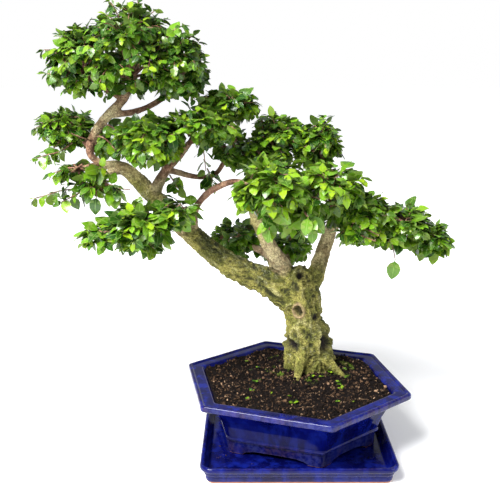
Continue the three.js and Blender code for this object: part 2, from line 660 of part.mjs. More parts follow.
// A pad is a core and twigs with leaves all round, with a hole where its branch stands.
function leafPads() {
  const socket = wood(SOCKET_GAP);
  const pads = Object.entries(PADS).map(([name, { lobes, twigs }]) => {
    const body = joined([...lobes.map(core), ...lobeJoints(lobes), ...twigs.map(twig)]);
    stand(body, name);
    return { name, lobes, twigs, body };
  });
  stand(wood());
  return pads.map(({ name, lobes, twigs, body }) => {
    const seats = lobes.flatMap((lobe) => lobeSeats(lobe, lobes.filter((other) => other !== lobe)));
    const leaves = [
      ...twigs.flatMap(twigLeaves).flatMap((seat) => clearLeaf(() => leafOnTwig(seat), name)),
      ...seats.flatMap((seat) => clearLeaf(() => leafOnLobe(seat), name)),
    ];
    return toMesh(`leaves_${name}`, oneBody(joined([body, ...leaves]).subtract(socket)), LEAF);
  });
}

const bonsai = new THREE.Group();
bonsai.name = 'privet_bonsai';
bonsai.add(
  toMesh('drip_tray', tray(), GLAZE),
  toMesh('pot', pot(), GLAZE),
  drainMesh('drain_mesh_left', -DRAIN_OFFSET),
  drainMesh('drain_mesh_right', DRAIN_OFFSET),
  toMesh('soil', soil(), EARTH),
  toMesh('tree_wood', tree(), BARK),
  ...leafPads(),
);

export default bonsai;
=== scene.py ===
# A privet bonsai in a glazed hexagonal pot on a drip tray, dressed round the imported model,
# which stands with +Z up and is seen from its front along +Y. Sizes here are in millimetres,
# and MM turns them into Blender's metres.
import itertools
import math

import bpy
import numpy as np
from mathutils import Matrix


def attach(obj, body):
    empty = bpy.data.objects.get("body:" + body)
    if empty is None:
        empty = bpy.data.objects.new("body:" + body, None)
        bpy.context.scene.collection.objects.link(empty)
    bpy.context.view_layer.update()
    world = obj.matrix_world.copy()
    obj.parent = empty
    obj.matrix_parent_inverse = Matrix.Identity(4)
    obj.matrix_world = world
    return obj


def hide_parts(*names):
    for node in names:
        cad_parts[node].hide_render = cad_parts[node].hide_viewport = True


MM = 0.001
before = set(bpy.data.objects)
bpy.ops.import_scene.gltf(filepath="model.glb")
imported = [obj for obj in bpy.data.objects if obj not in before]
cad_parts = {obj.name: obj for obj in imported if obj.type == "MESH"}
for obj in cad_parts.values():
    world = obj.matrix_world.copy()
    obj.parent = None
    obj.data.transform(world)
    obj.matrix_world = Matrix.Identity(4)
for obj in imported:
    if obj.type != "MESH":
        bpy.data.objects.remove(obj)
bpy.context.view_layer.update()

# Camera: where the photograph was taken from, worked out from the corners of the pot and of
# the tray. It stands just left of the pot's middle and looks level along +Y but for its tilt.
CAMERA_PLACE = (-59.6, -941.3, 477.7)
CAMERA_TILT = 13.03
CAMERA_LENS = 54.27
SENSOR_WIDTH = 36

camera_data = bpy.data.cameras.new("camera")
camera_data.lens = CAMERA_LENS
camera_data.sensor_width = SENSOR_WIDTH
camera = bpy.data.objects.new("camera", camera_data)
camera.location = [c * MM for c in CAMERA_PLACE]
camera.rotation_euler = (math.radians(90 - CAMERA_TILT), 0, 0)
bpy.context.scene.collection.objects.link(camera)
bpy.context.scene.camera = camera

# Studio: a pale floor that glows as painted light, more strongly away from the tray, and runs off
# into a room which is white low down and dimmer above, with a large soft light up at the left and a
# weaker one at the right.
FLOOR_RADIUS = 30000
FLOOR_POINTS = 96
FLOOR_DROP = 0.1
FLOOR_GLOW = (0.13, 0.62)
FLOOR_GLOW_REACH = (180, 700)
ROOM_WHITE_BELOW = 0.1
ROOM_DIM_ABOVE = 0.32
FLOOR_WHITES = ((0.9, 0.9, 0.9), (0.92, 0.92, 0.92))
ROOM_WHITE = (1, 1, 1)
ROOM_DIM = (0.4, 0.41, 0.43)
SOFT_LIGHTS = {
    # place, size of the softbox, and power in watts
    "key_light": ((-1000, -1050, 1700), 1000, 117),
    "side_light": ((1500, -600, 1200), 600, 10),
}
LIGHT_TARGET = np.array([-60, 0, 250])


def facing(direction):
    """The turn that points a light's or camera's back, its own +Z, along a direction."""
    east, north, up = direction / np.linalg.norm(direction)
    return (math.acos(up), 0, math.atan2(east, -north))


class Finish:
    """A procedural material, or the world's light. Most methods add one node, and give what
    comes out of it."""

    def __init__(self, name, sockets, kind="materials", shader="Principled BSDF", place="Object"):
        self.owner = getattr(bpy.data, kind).new(name)
        self.owner.use_nodes = True
        self.tree = self.owner.node_tree
        self.shader = self.tree.nodes[shader]
        self.place = self.add("TexCoord", {}, place)
        self.plug(self.shader, sockets)

    def plug(self, node, sockets):
        """Each named input of a node is linked to an output, or set to a number or a colour."""
        for name, value in sockets.items():
            if isinstance(value, bpy.types.NodeSocket):
                self.tree.links.new(value, node.inputs[name])
            elif isinstance(value, tuple) and node.inputs[name].type == "RGBA":
                node.inputs[name].default_value = (*value, 1)
            else:
                node.inputs[name].default_value = value

    def add(self, kind, sockets, output=0, **settings):
        """A node of a kind, with its sockets plugged and its settings made."""
        node = self.tree.nodes.new("ShaderNode" + kind)
        for name, value in settings.items():
            setattr(node, name, value)
        self.plug(node, sockets)
        return node.outputs[output]

    def stretched(self, x, y, z):
        """The object's coordinates with each axis made longer, so that a pattern gets shorter."""
        return self.add("Mapping", {"Vector": self.place, "Scale": (x, y, z)})

    def noise(self, size, detail=3.0, rough=0.5, place=None):
        """Cloudy noise from 0 to 1 whose largest lumps are about size millimetres."""
        sockets = {"Vector": place or self.place, "Scale": 1 / (size * MM),
                   "Detail": detail, "Roughness": rough}
        return self.add("TexNoise", sockets)

    def cells(self, size, feature="F1"):
        """Cells about size millimetres across: the distance to a cell's middle or edge."""
        sockets = {"Vector": self.place, "Scale": 1 / (size * MM)}
        return self.add("TexVoronoi", sockets, "Distance", feature=feature)

    def between(self, value, low, high):
        """0 where the value is under low, 1 where it is over high, and smooth in between."""
        sockets = {"Value": value, "From Min": low, "From Max": high}
        return self.add("MapRange", sockets, interpolation_type="SMOOTHSTEP")

    def math(self, operation, first, second):
        """What an operation makes of two numbers."""
        return self.add("Math", {0: first, 1: second}, operation=operation)

    def mix(self, share, first, second, mode="MIX"):
        """The first colour where the share is 0, and the second where it is 1."""
        sockets = {"Fac": share, "Color1": first, "Color2": second}
        return self.add("MixRGB", sockets, blend_type=mode)

    def channel(self, attribute, channel):
        """One channel of a colour that each corner or point of the mesh carries."""
        colour = self.add("Attribute", {}, "Color", attribute_name=attribute)
        return self.add("SeparateColor", {"Color": colour}, channel)

    def bump(self, height, depth, normal=None):
        """Relief of so many millimetres."""
        sockets = {"Height": height, "Distance": depth * MM}
        if normal:
            sockets["Normal"] = normal
        return self.add("Bump", sockets, "Normal")

    def done(self, sockets):
        """The finished material or world, once its shader has what is plugged into it."""
        self.plug(self.shader, sockets)
        return self.owner


def floor_paper():
    """White paper that glows as painted light, more strongly away from the tray, whose shadow stays."""
    paper = Finish("floor_paper", {"Roughness": 0.9, "Specular IOR Level": 0.1,
                                   "Emission Color": (1, 1, 1)})
    grain = paper.noise(400)
    distance = paper.add("VectorMath", {0: paper.place}, "Value", operation="LENGTH")
    near, far = (reach * MM for reach in FLOOR_GLOW_REACH)
    share = paper.between(distance, near, far)
    glow = paper.math("MULTIPLY", share, FLOOR_GLOW[1] - FLOOR_GLOW[0])
    glow = paper.math("ADD", glow, FLOOR_GLOW[0])
    return paper.done({"Base Color": paper.mix(grain, *FLOOR_WHITES), "Emission Strength": glow})


def turns(count):
    """So many angles all round, from 0 on, in equal steps."""
    return np.linspace(0, 2 * np.pi, count, endpoint=False)


def around(turn, height=0.0):
    """The points of a circle of radius 1 at its angles, and at a height."""
    return np.stack([np.cos(turn), np.sin(turn), height + 0 * turn], -1)


floor_edge = around(turns(FLOOR_POINTS)) * FLOOR_RADIUS - [0, 0, FLOOR_DROP]
floor_mesh = bpy.data.meshes.new("floor")
floor_mesh.from_pydata((floor_edge * MM).tolist(), [], [range(FLOOR_POINTS)])
floor_mesh.materials.append(floor_paper())
floor = bpy.data.objects.new("floor", floor_mesh)
bpy.context.scene.collection.objects.link(floor)

for name, (place, size, power) in SOFT_LIGHTS.items():
    softbox = bpy.data.lights.new(name, "AREA")
    softbox.size = size * MM
    softbox.energy = power
    lamp = bpy.data.objects.new(name, softbox)
    lamp.location = [c * MM for c in place]
    lamp.rotation_euler = facing(np.array(place) - LIGHT_TARGET)
    bpy.context.scene.collection.objects.link(lamp)

room = Finish("white_room", {}, "worlds", "Background", "Generated")
upwards = room.add("SeparateXYZ", {"Vector": room.place}, "Z")
heights = {"Value": upwards, "From Min": ROOM_WHITE_BELOW, "From Max": ROOM_DIM_ABOVE}
dimming = room.add("MapRange", heights)
bpy.context.scene.world = room.done({"Color": room.mix(dimming, ROOM_WHITE, ROOM_DIM)})
bpy.context.scene.view_settings.view_transform = "Standard"

# Drip tray: a cast stoneware dish with rounded corners, glazed cobalt blue all over but for
# the underside that it was fired on. Two ribs run round its outside below a rounded lip, and
# the glaze has run thin and brown along them. The pot stands in it.
TRAY_WIDTH = 241
TRAY_DEPTH = 261
TRAY_CORNER = 17
TRAY_CORNER_STEPS = 14
TRAY_SIDE_STEPS = 40
TRAY_FLOOR = 8
TRAY_SECTION = [
    # inset from the rim, and height
    [9.6, 0], [8.8, 1.4], [7.8, 2.4], [7, 5], [7.2, 7.6], [7.8, 8.8],
    [5.6, 10.2], [4.8, 12.4], [5.4, 14.4], [3.4, 15.4], [0.9, 16.8], [0, 19], [0.3, 21.6],
    [1.8, 23], [3.8, 23], [5.4, 22], [7.4, 17], [10, 10.6], [11.5, TRAY_FLOOR], [15, TRAY_FLOOR],
]
TRAY_ROUNDING = 1.2
TRAY_BARE_BELOW = 1.6
# where its glaze has run thin: greatest inset, least and greatest height, and how thin
TRAY_THIN = [[8, 0, 16, 0.12]]
SECTION_STEP = 4
RINGS_TO_MIDDLE = np.array([0.93, 0.84, 0.72, 0.56, 0.38, 0.2])
HAND_WOBBLE = 0.25
HAND_WOBBLE_SIZE = 38
STEADY_BELOW = 6
THIN_GLAZE_BEND = (0.3, 0.95)
GLAZE_THICK = ((0.001, 0.0015, 0.035), (0.0015, 0.003, 0.08))
GLAZE_RUNS = (0.004, 0.01, 0.15)
GLAZE_THIN_AND_HIGHLIGHT = ((0.075, 0.045, 0.1), (0.05, 0.06, 0.19))
GLAZE_PITS = (0.004, 0.004, 0.012)
FIRED_CLAY = ((0.36, 0.13, 0.06), (0.5, 0.22, 0.11))
LATTICE_SIDE = 32
LATTICE = np.random.default_rng(11).uniform(-1, 1, (LATTICE_SIDE,) * 3)


def lumps(points, size):
    """Smooth noise from -1 to 1: random values at the corners of cubes of a size, blended
    between the corners by 3t^2 - 2t^3 along each axis."""
    corner = np.floor(points / size).astype(int)
    t = points / size - corner
    t = t * t * (3 - 2 * t)
    total = np.zeros(points.shape[:-1])
    for step in itertools.product((0, 1), repeat=3):
        cell = (corner + step) % LATTICE_SIDE
        share = np.prod(np.where(step, t, 1 - t), axis=-1)
        total += share * LATTICE[cell[..., 0], cell[..., 1], cell[..., 2]]
    return total


def lumps_each_way(points, size, shift):
    """Three such noises, one for each axis, from places that lie a shift apart."""
    return np.stack([lumps(points + k * shift, size) for k in range(3)], -1)


def rounded(line, radius, steps=3):
    """The line with each corner replaced by the quadratic curve that leaves it a radius
    before the corner, or halfway along a short side, and meets it again as far after."""
    line = np.array(line, float)
    corner = line[1:-1, None]

    def toward(end):
        arm = end[:, None] - corner
        length = np.linalg.norm(arm, axis=-1, keepdims=True)
        return corner + arm * np.minimum(radius / length, 0.5)

    t = np.linspace(0, 1, steps + 1)[None, :, None]
    curve = (1 - t) ** 2 * toward(line[:-2]) + 2 * t * (1 - t) * corner + t * t * toward(line[2:])
    return np.vstack([line[:1], curve.reshape(-1, line.shape[1]), line[-1:]])


def finely(line, step):
    """The line with more points, no further apart than a step along it."""
    along = np.append(0, np.cumsum(np.linalg.norm(np.diff(line, axis=0), axis=1)))
    places = np.unique(np.round(np.append(along, np.arange(0, along[-1], step)), 4))
    return np.stack([np.interp(places, along, column) for column in line.T], -1)


def bulge(section):
    """How sharply the section turns outwards at each point: the angle there over the length
    of the two sides beside it, in radians a millimetre."""
    side = np.diff(section, axis=0)
    heading = np.unwrap(np.arctan2(side[:, 1], side[:, 0]))
    length = np.linalg.norm(side, axis=1)
    turn = -np.diff(heading) / (length[1:] + length[:-1]) * 2
    return np.concatenate([turn[:1], turn, turn[-1:]])


def tray_outline(inset):
    """A rectangle with round corners at an inset, run through anticlockwise."""
    quarter = np.linspace(0, np.pi / 2, TRAY_CORNER_STEPS)
    radius = max(TRAY_CORNER - inset, 1)
    reach = np.array([TRAY_WIDTH, TRAY_DEPTH]) / 2 - inset - radius
    corners = []
    for k, (x, y) in enumerate([(1, 1), (-1, 1), (-1, -1), (1, -1)]):
        corners.append(reach * [x, y] + radius * around(quarter + k * np.pi / 2)[:, :2])
    share = np.linspace(0, 1, TRAY_SIDE_STEPS, endpoint=False)[1:, None]
    sides = [corners[k][-1] * (1 - share) + corners[(k + 1) % 4][0] * share for k in range(4)]
    return np.vstack([part for pair in zip(corners, sides) for part in pair])


def vessel_rings(section, outline):
    """Each [inset, height] of the section run round the plan, with smaller copies of the
    first and last rings towards the middle."""
    rings = np.stack([np.column_stack([outline(inset), np.full(len(outline(inset)), height)])
                      for inset, height in section])
    shrink = np.stack([RINGS_TO_MIDDLE, RINGS_TO_MIDDLE, np.ones_like(RINGS_TO_MIDDLE)], -1)
    inner = shrink[:, None]
    return np.concatenate([rings[0] * inner[::-1], rings, rings[-1] * inner])[None]


def repeated(faces, copies, each):
    """The faces of one body for many copies of it, which have so many points each."""
    first = (np.arange(copies) * each)[:, None, None]
    return (faces + first).reshape(-1, faces.shape[1])


def lofted(rings):
    """Points and faces of closed surfaces. rings is [copy, ring, point, xyz]: each ring runs
    anticlockwise as seen from the end and is joined to the next one, and a point in the
    middle of the first and the last ring closes the ends."""
    copies, rows, columns = rings.shape[:3]
    here = np.arange((rows - 1) * columns).reshape(rows - 1, columns)
    beside = np.roll(here, -1, axis=1)
    walls = np.stack([here, beside, beside + columns, here + columns], -1).reshape(-1, 4)
    ring = np.arange(columns)
    last = ring + (rows - 1) * columns
    pole = np.full(columns, rows * columns)
    start = np.stack([pole, np.roll(ring, -1), ring], -1)
    end = np.stack([pole + 1, last, np.roll(last, -1)], -1)
    poles = rings[:, [0, -1]].mean(2)
    points = np.concatenate([rings.reshape(copies, -1, 3), poles], axis=1)
    each = points.shape[1]
    walls = repeated(walls, copies, each)
    ends = repeated(np.vstack([start, end]), copies, each)
    return points.reshape(-1, 3), walls.tolist() + ends.tolist()


def new_piece(name, points, faces, material, slot, replaced=()):
    """A smooth closed mesh that rides with the tree, from points in millimetres."""
    mesh = bpy.data.meshes.new(name)
    mesh.from_pydata((points * MM).tolist(), [], faces)
    mesh.materials.append(material)
    mesh.shade_smooth()
    piece = bpy.data.objects.new(name, mesh)
    bpy.context.scene.collection.objects.link(piece)
    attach(piece, "root")
    if replaced:
        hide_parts(*replaced)
    return piece


def paint(piece, name, channels, domain="POINT"):
    """Gives each point or corner of a piece a colour, up to three channels of it."""
    attribute = piece.data.attributes.new(name, "FLOAT_COLOR", domain)
    colours = np.ones((len(attribute.data), 4), np.float32)
    for index, values in enumerate(channels):
        colours[:, index] = values
    attribute.data.foreach_set("color", colours.ravel())


def blue_glaze():
    """Deep cobalt glaze: clouded, run in streaks down the walls, brown or pale where it is thin, pale
    along the pot's bead ledge as a painted highlight as well, pitted with a few dark specks, and missing
    where the clay stood in the kiln."""
    glaze = Finish("blue_glaze", {"IOR": 1.5, "Specular IOR Level": 0.24})
    thin_and_highlit = glaze.channel("glaze", "Red")
    bare = glaze.channel("glaze", "Green")
    clouds = glaze.noise(45, 4)
    runs = glaze.noise(14, 4, 0.6, glaze.stretched(1, 1, 0.16))
    deep = glaze.mix(glaze.between(clouds, 0.35, 0.7), *GLAZE_THICK)
    body = glaze.mix(glaze.between(runs, 0.42, 0.7), deep, GLAZE_RUNS)
    grit = glaze.noise(5, 4, 0.7)
    broken_and_highlit = glaze.mix(glaze.between(clouds, 0.42, 0.58), *GLAZE_THIN_AND_HIGHLIGHT)
    # pale thin glaze, which on the pot's bead ledge is also a painted highlight
    worn_and_highlit = glaze.math("MULTIPLY", thin_and_highlit, glaze.between(grit, 0.36, 0.62))
    body = glaze.mix(worn_and_highlit, body, broken_and_highlit)
    pits = glaze.between(glaze.cells(9), 0.075, 0.05)
    body = glaze.mix(pits, body, GLAZE_PITS)
    clay = glaze.mix(grit, *FIRED_CLAY)
    edge = glaze.between(glaze.math("ADD", bare, glaze.math("MULTIPLY", grit, 0.4)), 0.55, 0.75)
    gloss = glaze.between(clouds, 0.2, 0.9)
    rough = glaze.math("ADD", glaze.math("MULTIPLY", gloss, 0.08), 0.07)
    rough = glaze.math("MAXIMUM", rough, glaze.math("MULTIPLY", edge, 0.85))
    relief = glaze.bump(glaze.noise(22, 2), 0.3)
    relief = glaze.bump(pits, -0.12, relief)
    return glaze.done({"Base Color": glaze.mix(edge, body, clay), "Roughness": rough,
                       "Normal": glaze.bump(grit, 0.03, relief)})


def thinness_and_highlights(section, thin_and_highlit_places):
    """How thin the glaze is at each point of a section: on a sharp edge by how sharply it
    bends, and in each of the thin places by their table. On the pot's bead ledge that pale thin glaze is
    also a painted highlight."""
    inset, height = section.T
    thin_and_highlit = np.clip((bulge(section) - THIN_GLAZE_BEND[0]) / np.ptp(THIN_GLAZE_BEND), 0, 1)
    for most_inset, lowest, highest, share in thin_and_highlit_places:
        within = (inset <= most_inset) & (height >= lowest) & (height < highest)
        thin_and_highlit = np.maximum(thin_and_highlit, share * within)
    return thin_and_highlit


def glazed_vessel(name, section, rings, bare_below, replaced, thin_and_highlit_places):
    """A cast or pressed vessel from the rings of its section, with a hand-made wobble, but
    steady where it stands. Its glaze is thin in places, one of them a painted highlight on the pot's bead
    ledge, and bare below a height."""
    thin_and_highlit = np.pad(thinness_and_highlights(section, thin_and_highlit_places), len(RINGS_TO_MIDDLE))
    wobble = HAND_WOBBLE * lumps_each_way(rings, HAND_WOBBLE_SIZE, shift=50)
    wobble[..., 2] *= np.clip(rings[..., 2] / STEADY_BELOW, 0, 1)
    points, faces = lofted(rings + wobble)
    thin_and_highlit = np.append(np.repeat(thin_and_highlit, rings.shape[2]), [0, 0])
    bare = np.clip(1 - (points[:, 2] - bare_below), 0, 1)
    piece = new_piece(name, points, faces, glaze, "blue_glaze", [replaced])
    # the glaze colour carries thin glaze with the ledge's painted highlight, and bare clay
    paint(piece, "glaze", [thin_and_highlit, bare])
    return piece


glaze = blue_glaze()
tray_section = finely(rounded(TRAY_SECTION, TRAY_ROUNDING), SECTION_STEP)
tray_rings = vessel_rings(tray_section, tray_outline)
glazed_vessel("glazed_tray", tray_section, tray_rings, TRAY_BARE_BELOW, "drip_tray", TRAY_THIN)

# Pot: a long hexagon pressed in a mould, with a round bead on its flat rim, hollow-curved
# walls down to a bead ledge, and a skirt below it that is cut up in a cloud shape between six
# feet. It is glazed inside its rim and out, and its feet are bare. Two holes drain it.
POT_HALF_LENGTH = 155
POT_HALF_WIDTH = 125
POT_TURN = -0.34
POT_CORNER = 4.5
POT_CORNER_STEPS = 5
POT_SIDE_STEPS = 36
POT_BASE = TRAY_FLOOR + 0.3
POT_UNDERSIDE = 20
POT_FLOOR = 30
POT_RIM = 85
FOOT_INSET = 39
POT_SECTION = [
    [47.5, POT_UNDERSIDE], [46.2, 15], [46, POT_BASE], [FOOT_INSET, POT_BASE],
    [FOOT_INSET - 0.4, 26.3], [35.7, 26.9], [34.8, 28.2], [34.8, 30.4], [35.8, 31.7],
    [34.4, 37], [31.4, 47], [27, 57], [21.6, 66.5], [16.5, 74], [14.4, 76.8],
    [1.4, 76.8], [0, 78.2], [0, 83.4], [1.3, POT_RIM], [4.4, POT_RIM], [5.6, 83],
    [7.4, 83.5], [17.6, 83.6], [18.8, 82.8], [20, 81.2], [25, 74], [31.5, 64.5], [37.5, 53],
    [42, 42], [45, 33], [48, POT_FLOOR], [52, POT_FLOOR],
]
POT_ROUNDING = 1.3
POT_BARE_BELOW = POT_BASE + 0.2
# the rim's upright band, the bead ledge, whose pale thin glaze is also a painted highlight, and the skirt
POT_THIN_AND_HIGHLIGHT = [[1, 0, POT_RIM - 1, 0.36], [37, 27.5, 31, 0.25], [FOOT_INSET, 0, 26, 0.4]]
FOOT_LENGTH = 18
ARCH_RISE = 6
ARCH_SHOULDER = 14
ARCH_CURL = 6
ARCH_LIP = 2
ARCH_CROWN = 0.5
ARCH_STEPS = 16
DRAIN_OFFSET = 45
DRAIN_RADIUS = 10
DRAIN_SIDES = 48


def pot_corners(inset):
    """The six corners of the pot's plan at an inset from its rim, anticlockwise."""
    end = POT_HALF_LENGTH - inset / math.cos(math.pi / 6)
    flat = POT_HALF_WIDTH - inset
    corner = end - flat / math.sqrt(3)
    x, y = np.array([[end, 0], [corner, flat], [-corner, flat],
                     [-end, 0], [-corner, -flat], [corner, -flat]]).T
    cos, sin = math.cos(POT_TURN), math.sin(POT_TURN)
    return np.stack([x * cos - y * sin, x * sin + y * cos], -1)


def pot_outline(inset):
    """The hexagon with each corner rounded off, and its sides in equal steps."""
    corners = pot_corners(inset)
    following = np.roll(corners, -1, axis=0) - corners
    length = np.linalg.norm(following, axis=1, keepdims=True)
    ahead = following / length
    behind = -np.roll(ahead, 1, axis=0)
    t = np.linspace(0, 1, POT_CORNER_STEPS + 1)[:, None, None]
    bend = corners + POT_CORNER * ((1 - t) ** 2 * behind + t * t * ahead)
    share = np.linspace(0, 1, POT_SIDE_STEPS, endpoint=False)[1:, None, None]
    side = corners + ahead * (POT_CORNER + share * (length - 2 * POT_CORNER))
    return np.concatenate([bend, side]).transpose(1, 0, 2).reshape(-1, 2)


def arch_height(from_middle, half):
    """How far the skirt is cut up at a distance from the middle of a side: nothing at the
    feet, a curl beside them, and a long flat arch between."""
    t = np.linspace(0, 1, ARCH_STEPS)
    s = 1 - t
    ends = np.array([[half, 0], [half - ARCH_LIP, ARCH_RISE - 1],
                     [half - ARCH_CURL, ARCH_RISE / 2], [half - ARCH_SHOULDER, ARCH_RISE]])
    curl = np.stack([s ** 3, 3 * s * s * t, 3 * s * t * t, t ** 3], -1) @ ends
    x, rise = np.vstack([curl, [[0, ARCH_RISE + ARCH_CROWN]]])[::-1].T
    return np.interp(np.abs(from_middle), x, rise, right=0)


def cut_arches(rings):
    """Lifts the skirt's lower edge by the arch, less and less up to the pot's underside."""
    corners = pot_corners(FOOT_INSET)
    outline = pot_outline(FOOT_INSET).reshape(6, -1, 2)
    following = np.roll(corners, -1, axis=0)
    middle = ((corners + following) / 2)[:, None]
    length = np.linalg.norm(following - corners, axis=1)[:, None]
    ahead = ((following - corners) / length)[:, None]
    from_middle = np.sum((outline - middle) * ahead, axis=-1)
    halves = length / 2 - FOOT_LENGTH
    rise = np.stack([arch_height(row, half[0]) for row, half in zip(from_middle, halves)])
    height = rings[..., 2]
    low = np.clip((POT_UNDERSIDE - height) / (POT_UNDERSIDE - POT_BASE), 0, 1)
    lifted = rings.copy()
    lifted[..., 2] = height + low * rise.ravel()
    return lifted


def bore(piece, centres, radius, sides):
    """Cuts upright round holes right through a piece."""
    circle = radius * around(turns(sides))
    rings = np.stack([[circle + [*centre, height] for height in (0, POT_RIM)] for centre in centres])
    points, faces = lofted(rings)
    mesh = bpy.data.meshes.new("drill")
    mesh.from_pydata((points * MM).tolist(), [], faces)
    drill = bpy.data.objects.new("drill", mesh)
    bpy.context.scene.collection.objects.link(drill)
    cut = piece.modifiers.new("drain_holes", "BOOLEAN")
    cut.object = drill
    cut.solver = "EXACT"
    settle(piece)
    bpy.data.objects.remove(drill)


def settle(piece):
    """Makes what a piece's modifiers do part of its mesh."""
    ready = piece.evaluated_get(bpy.context.evaluated_depsgraph_get())
    piece.data = bpy.data.meshes.new_from_object(ready)
    piece.modifiers.clear()


pot_section = finely(rounded(POT_SECTION, POT_ROUNDING), SECTION_STEP)
pot_rings = cut_arches(vessel_rings(pot_section, pot_outline))
pot = glazed_vessel("glazed_pot", pot_section, pot_rings, POT_BARE_BELOW, "pot", POT_THIN_AND_HIGHLIGHT)
along_pot = np.array([math.cos(POT_TURN), math.sin(POT_TURN)])
bore(pot, [-DRAIN_OFFSET * along_pot, DRAIN_OFFSET * along_pot], DRAIN_RADIUS, DRAIN_SIDES)

# Drain mesh: a square of black plastic netting over each hole, which keeps the soil in. The
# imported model's own squares stay, with the finish of moulded plastic.


def mesh_plastic():
    """Black moulded plastic, dull, with a fine grain."""
    plastic = Finish("drain_mesh_plastic", {"IOR": 1.46})
    grain = plastic.noise(1.5, 2)
    colour = plastic.mix(grain, (0.012, 0.012, 0.014), (0.03, 0.03, 0.034))
    return plastic.done({"Base Color": colour, "Roughness": plastic.between(grain, -0.6, 1.2),
                         "Normal": plastic.bump(grain, 0.05)})


plastic = mesh_plastic()
for node_name in ("drain_mesh_left", "drain_mesh_right"):
    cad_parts[node_name].data.materials.clear()
    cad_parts[node_name].data.materials.append(plastic)

# Soil: dark composted bark and peat that fills the pot to just under its rim, heaped at the
# trunk. The fill is one body with an uneven top, and loose crumbs, chips and fibres lie on it.
SOIL_GAP = 0.3
SOIL_EDGE = 81
SOIL_DIP = 0.8
SOIL_HEAP = 8
SOIL_HEAP_SPREAD = 70
SOIL_SIDE = [[48, POT_FLOOR], [45, 33], [42, 42], [37.5, 53], [31.5, 64.5], [25, 74], [22.4, 77.8]]
SOIL_SHOULDER = [[21.4, 79.4]]
SOIL_TOP_INSETS = np.linspace(22, 112, 58)
# height of the lumps and hollows, and size across
SOIL_UNEVEN = [(1.2, 19), (1.7, 8), (1.4, 3.8)]
SOIL_MARGIN = 23.5
SOIL_DARK = ((0.002, 0.0015, 0.0015), (0.014, 0.01, 0.009))
SOIL_PALE = (0.14, 0.08, 0.045)
SOIL_TAN = ((0.16, 0.075, 0.04), (0.62, 0.42, 0.26))
SOIL_MOSS = (0.09, 0.15, 0.015)
TRUNK_FOOT = (22, 40)
# count, least and greatest size across
CRUMBS = (6800, 1, 3.4)
LUMPS = (1700, 2.8, 6.4)
CRUMB_RAGGED = (0.55, 1.2)
CRUMB_FLATNESS = (0.55, 1.1)
CRUMB_RISE = 0.3
CRUMBS_TAN = 0.035
CHIP_COUNT = 600
CHIP_HALF_SIZES = ((0.9, 0.4, 0.25), (2.8, 1.2, 0.6))
CHIP_RISE = 0.8
FIBRE_COUNT = 50
FIBRE_MARGIN = 30
FIBRE_HALF_LENGTH = (3, 8)
FIBRE_BEND = 1
FIBRE_RISE = 1.2
FIBRE_RADIUS = (0.15, 0.35)
FIBRE_POINTS = 6
FIBRE_SIDES = 4
SOIL_SEED = 41
MOSS_REACH = 62
MOSS_PATCH = 9
# a direction that no fibre, limb or shoot runs along
ASIDE = np.array([0.31, 0.87, 0.38])


def soil_height(x, y):
    """The soil's surface: level, heaped round the trunk, with lumps of a few millimetres."""
    from_trunk = np.hypot(x - TRUNK_FOOT[0], y - TRUNK_FOOT[1]) / SOIL_HEAP_SPREAD
    place = np.stack([x, y, 0 * x], -1)
    uneven = sum(height * lumps(place, size) for height, size in SOIL_UNEVEN)
    return SOIL_EDGE - SOIL_DIP + SOIL_HEAP * np.exp(-from_trunk ** 2) + uneven


def potting_soil():
    """Near-black compost. Grains carry their own shade, from black to the tan of bark, and
    some are green with moss."""
    soil = Finish("potting_soil", {"Roughness": 0.85, "Specular IOR Level": 0.08})
    shade = soil.channel("grain", "Red")
    tan = soil.channel("grain", "Green")
    mossy = soil.channel("grain", "Blue")
    fine = soil.noise(1.6, 4, 0.7)
    dark = soil.mix(soil.between(fine, 0.3, 0.75), *SOIL_DARK)
    dark = soil.mix(shade, dark, SOIL_PALE)
    splinter = soil.mix(soil.between(fine, 0.3, 0.7), *SOIL_TAN)
    colour = soil.mix(tan, dark, splinter)
    return soil.done({"Base Color": soil.mix(mossy, colour, SOIL_MOSS), "Normal": soil.bump(fine, 0.8)})


def soil_fill():
    """The pot's hollow, a little smaller, run round its plan, with the soil's surface on top."""
    side = [[inset + SOIL_GAP, height + SOIL_GAP] for inset, height in SOIL_SIDE]
    section = side + SOIL_SHOULDER + [[inset, SOIL_EDGE] for inset in SOIL_TOP_INSETS]
    rings = vessel_rings(section, pot_outline)
    top = len(RINGS_TO_MIDDLE) + len(side) + len(SOIL_SHOULDER)
    x, y = rings[0, top:, :, 0], rings[0, top:, :, 1]
    rings[0, top:, :, 2] = soil_height(x, y)
    points, faces = lofted(rings)
    fill = new_piece("soil_fill", points, faces, earth, "potting_soil", ["soil"])
    paint(fill, "grain", [0, 0, 0])


def on_soil(rng, count, margin=SOIL_MARGIN):
    """Random places all over the soil: a share of the way from the middle to its edge."""
    outline = pot_outline(margin)
    spot = rng.integers(0, len(outline), count)
    share = rng.random((count, 1))
    rim = outline[spot] * (1 - share) + outline[(spot + 1) % len(outline)] * share
    place = rim * np.sqrt(rng.random((count, 1)))
    return np.column_stack([place, soil_height(place[:, 0], place[:, 1])])


def random_turns(rng, count):
    """Random rotations: the rows of each matrix are three directions square to each other."""
    matrix = rng.normal(size=(count, 3, 3))
    square, _ = np.linalg.qr(matrix)
    return square * np.sign(np.linalg.det(square))[:, None, None]


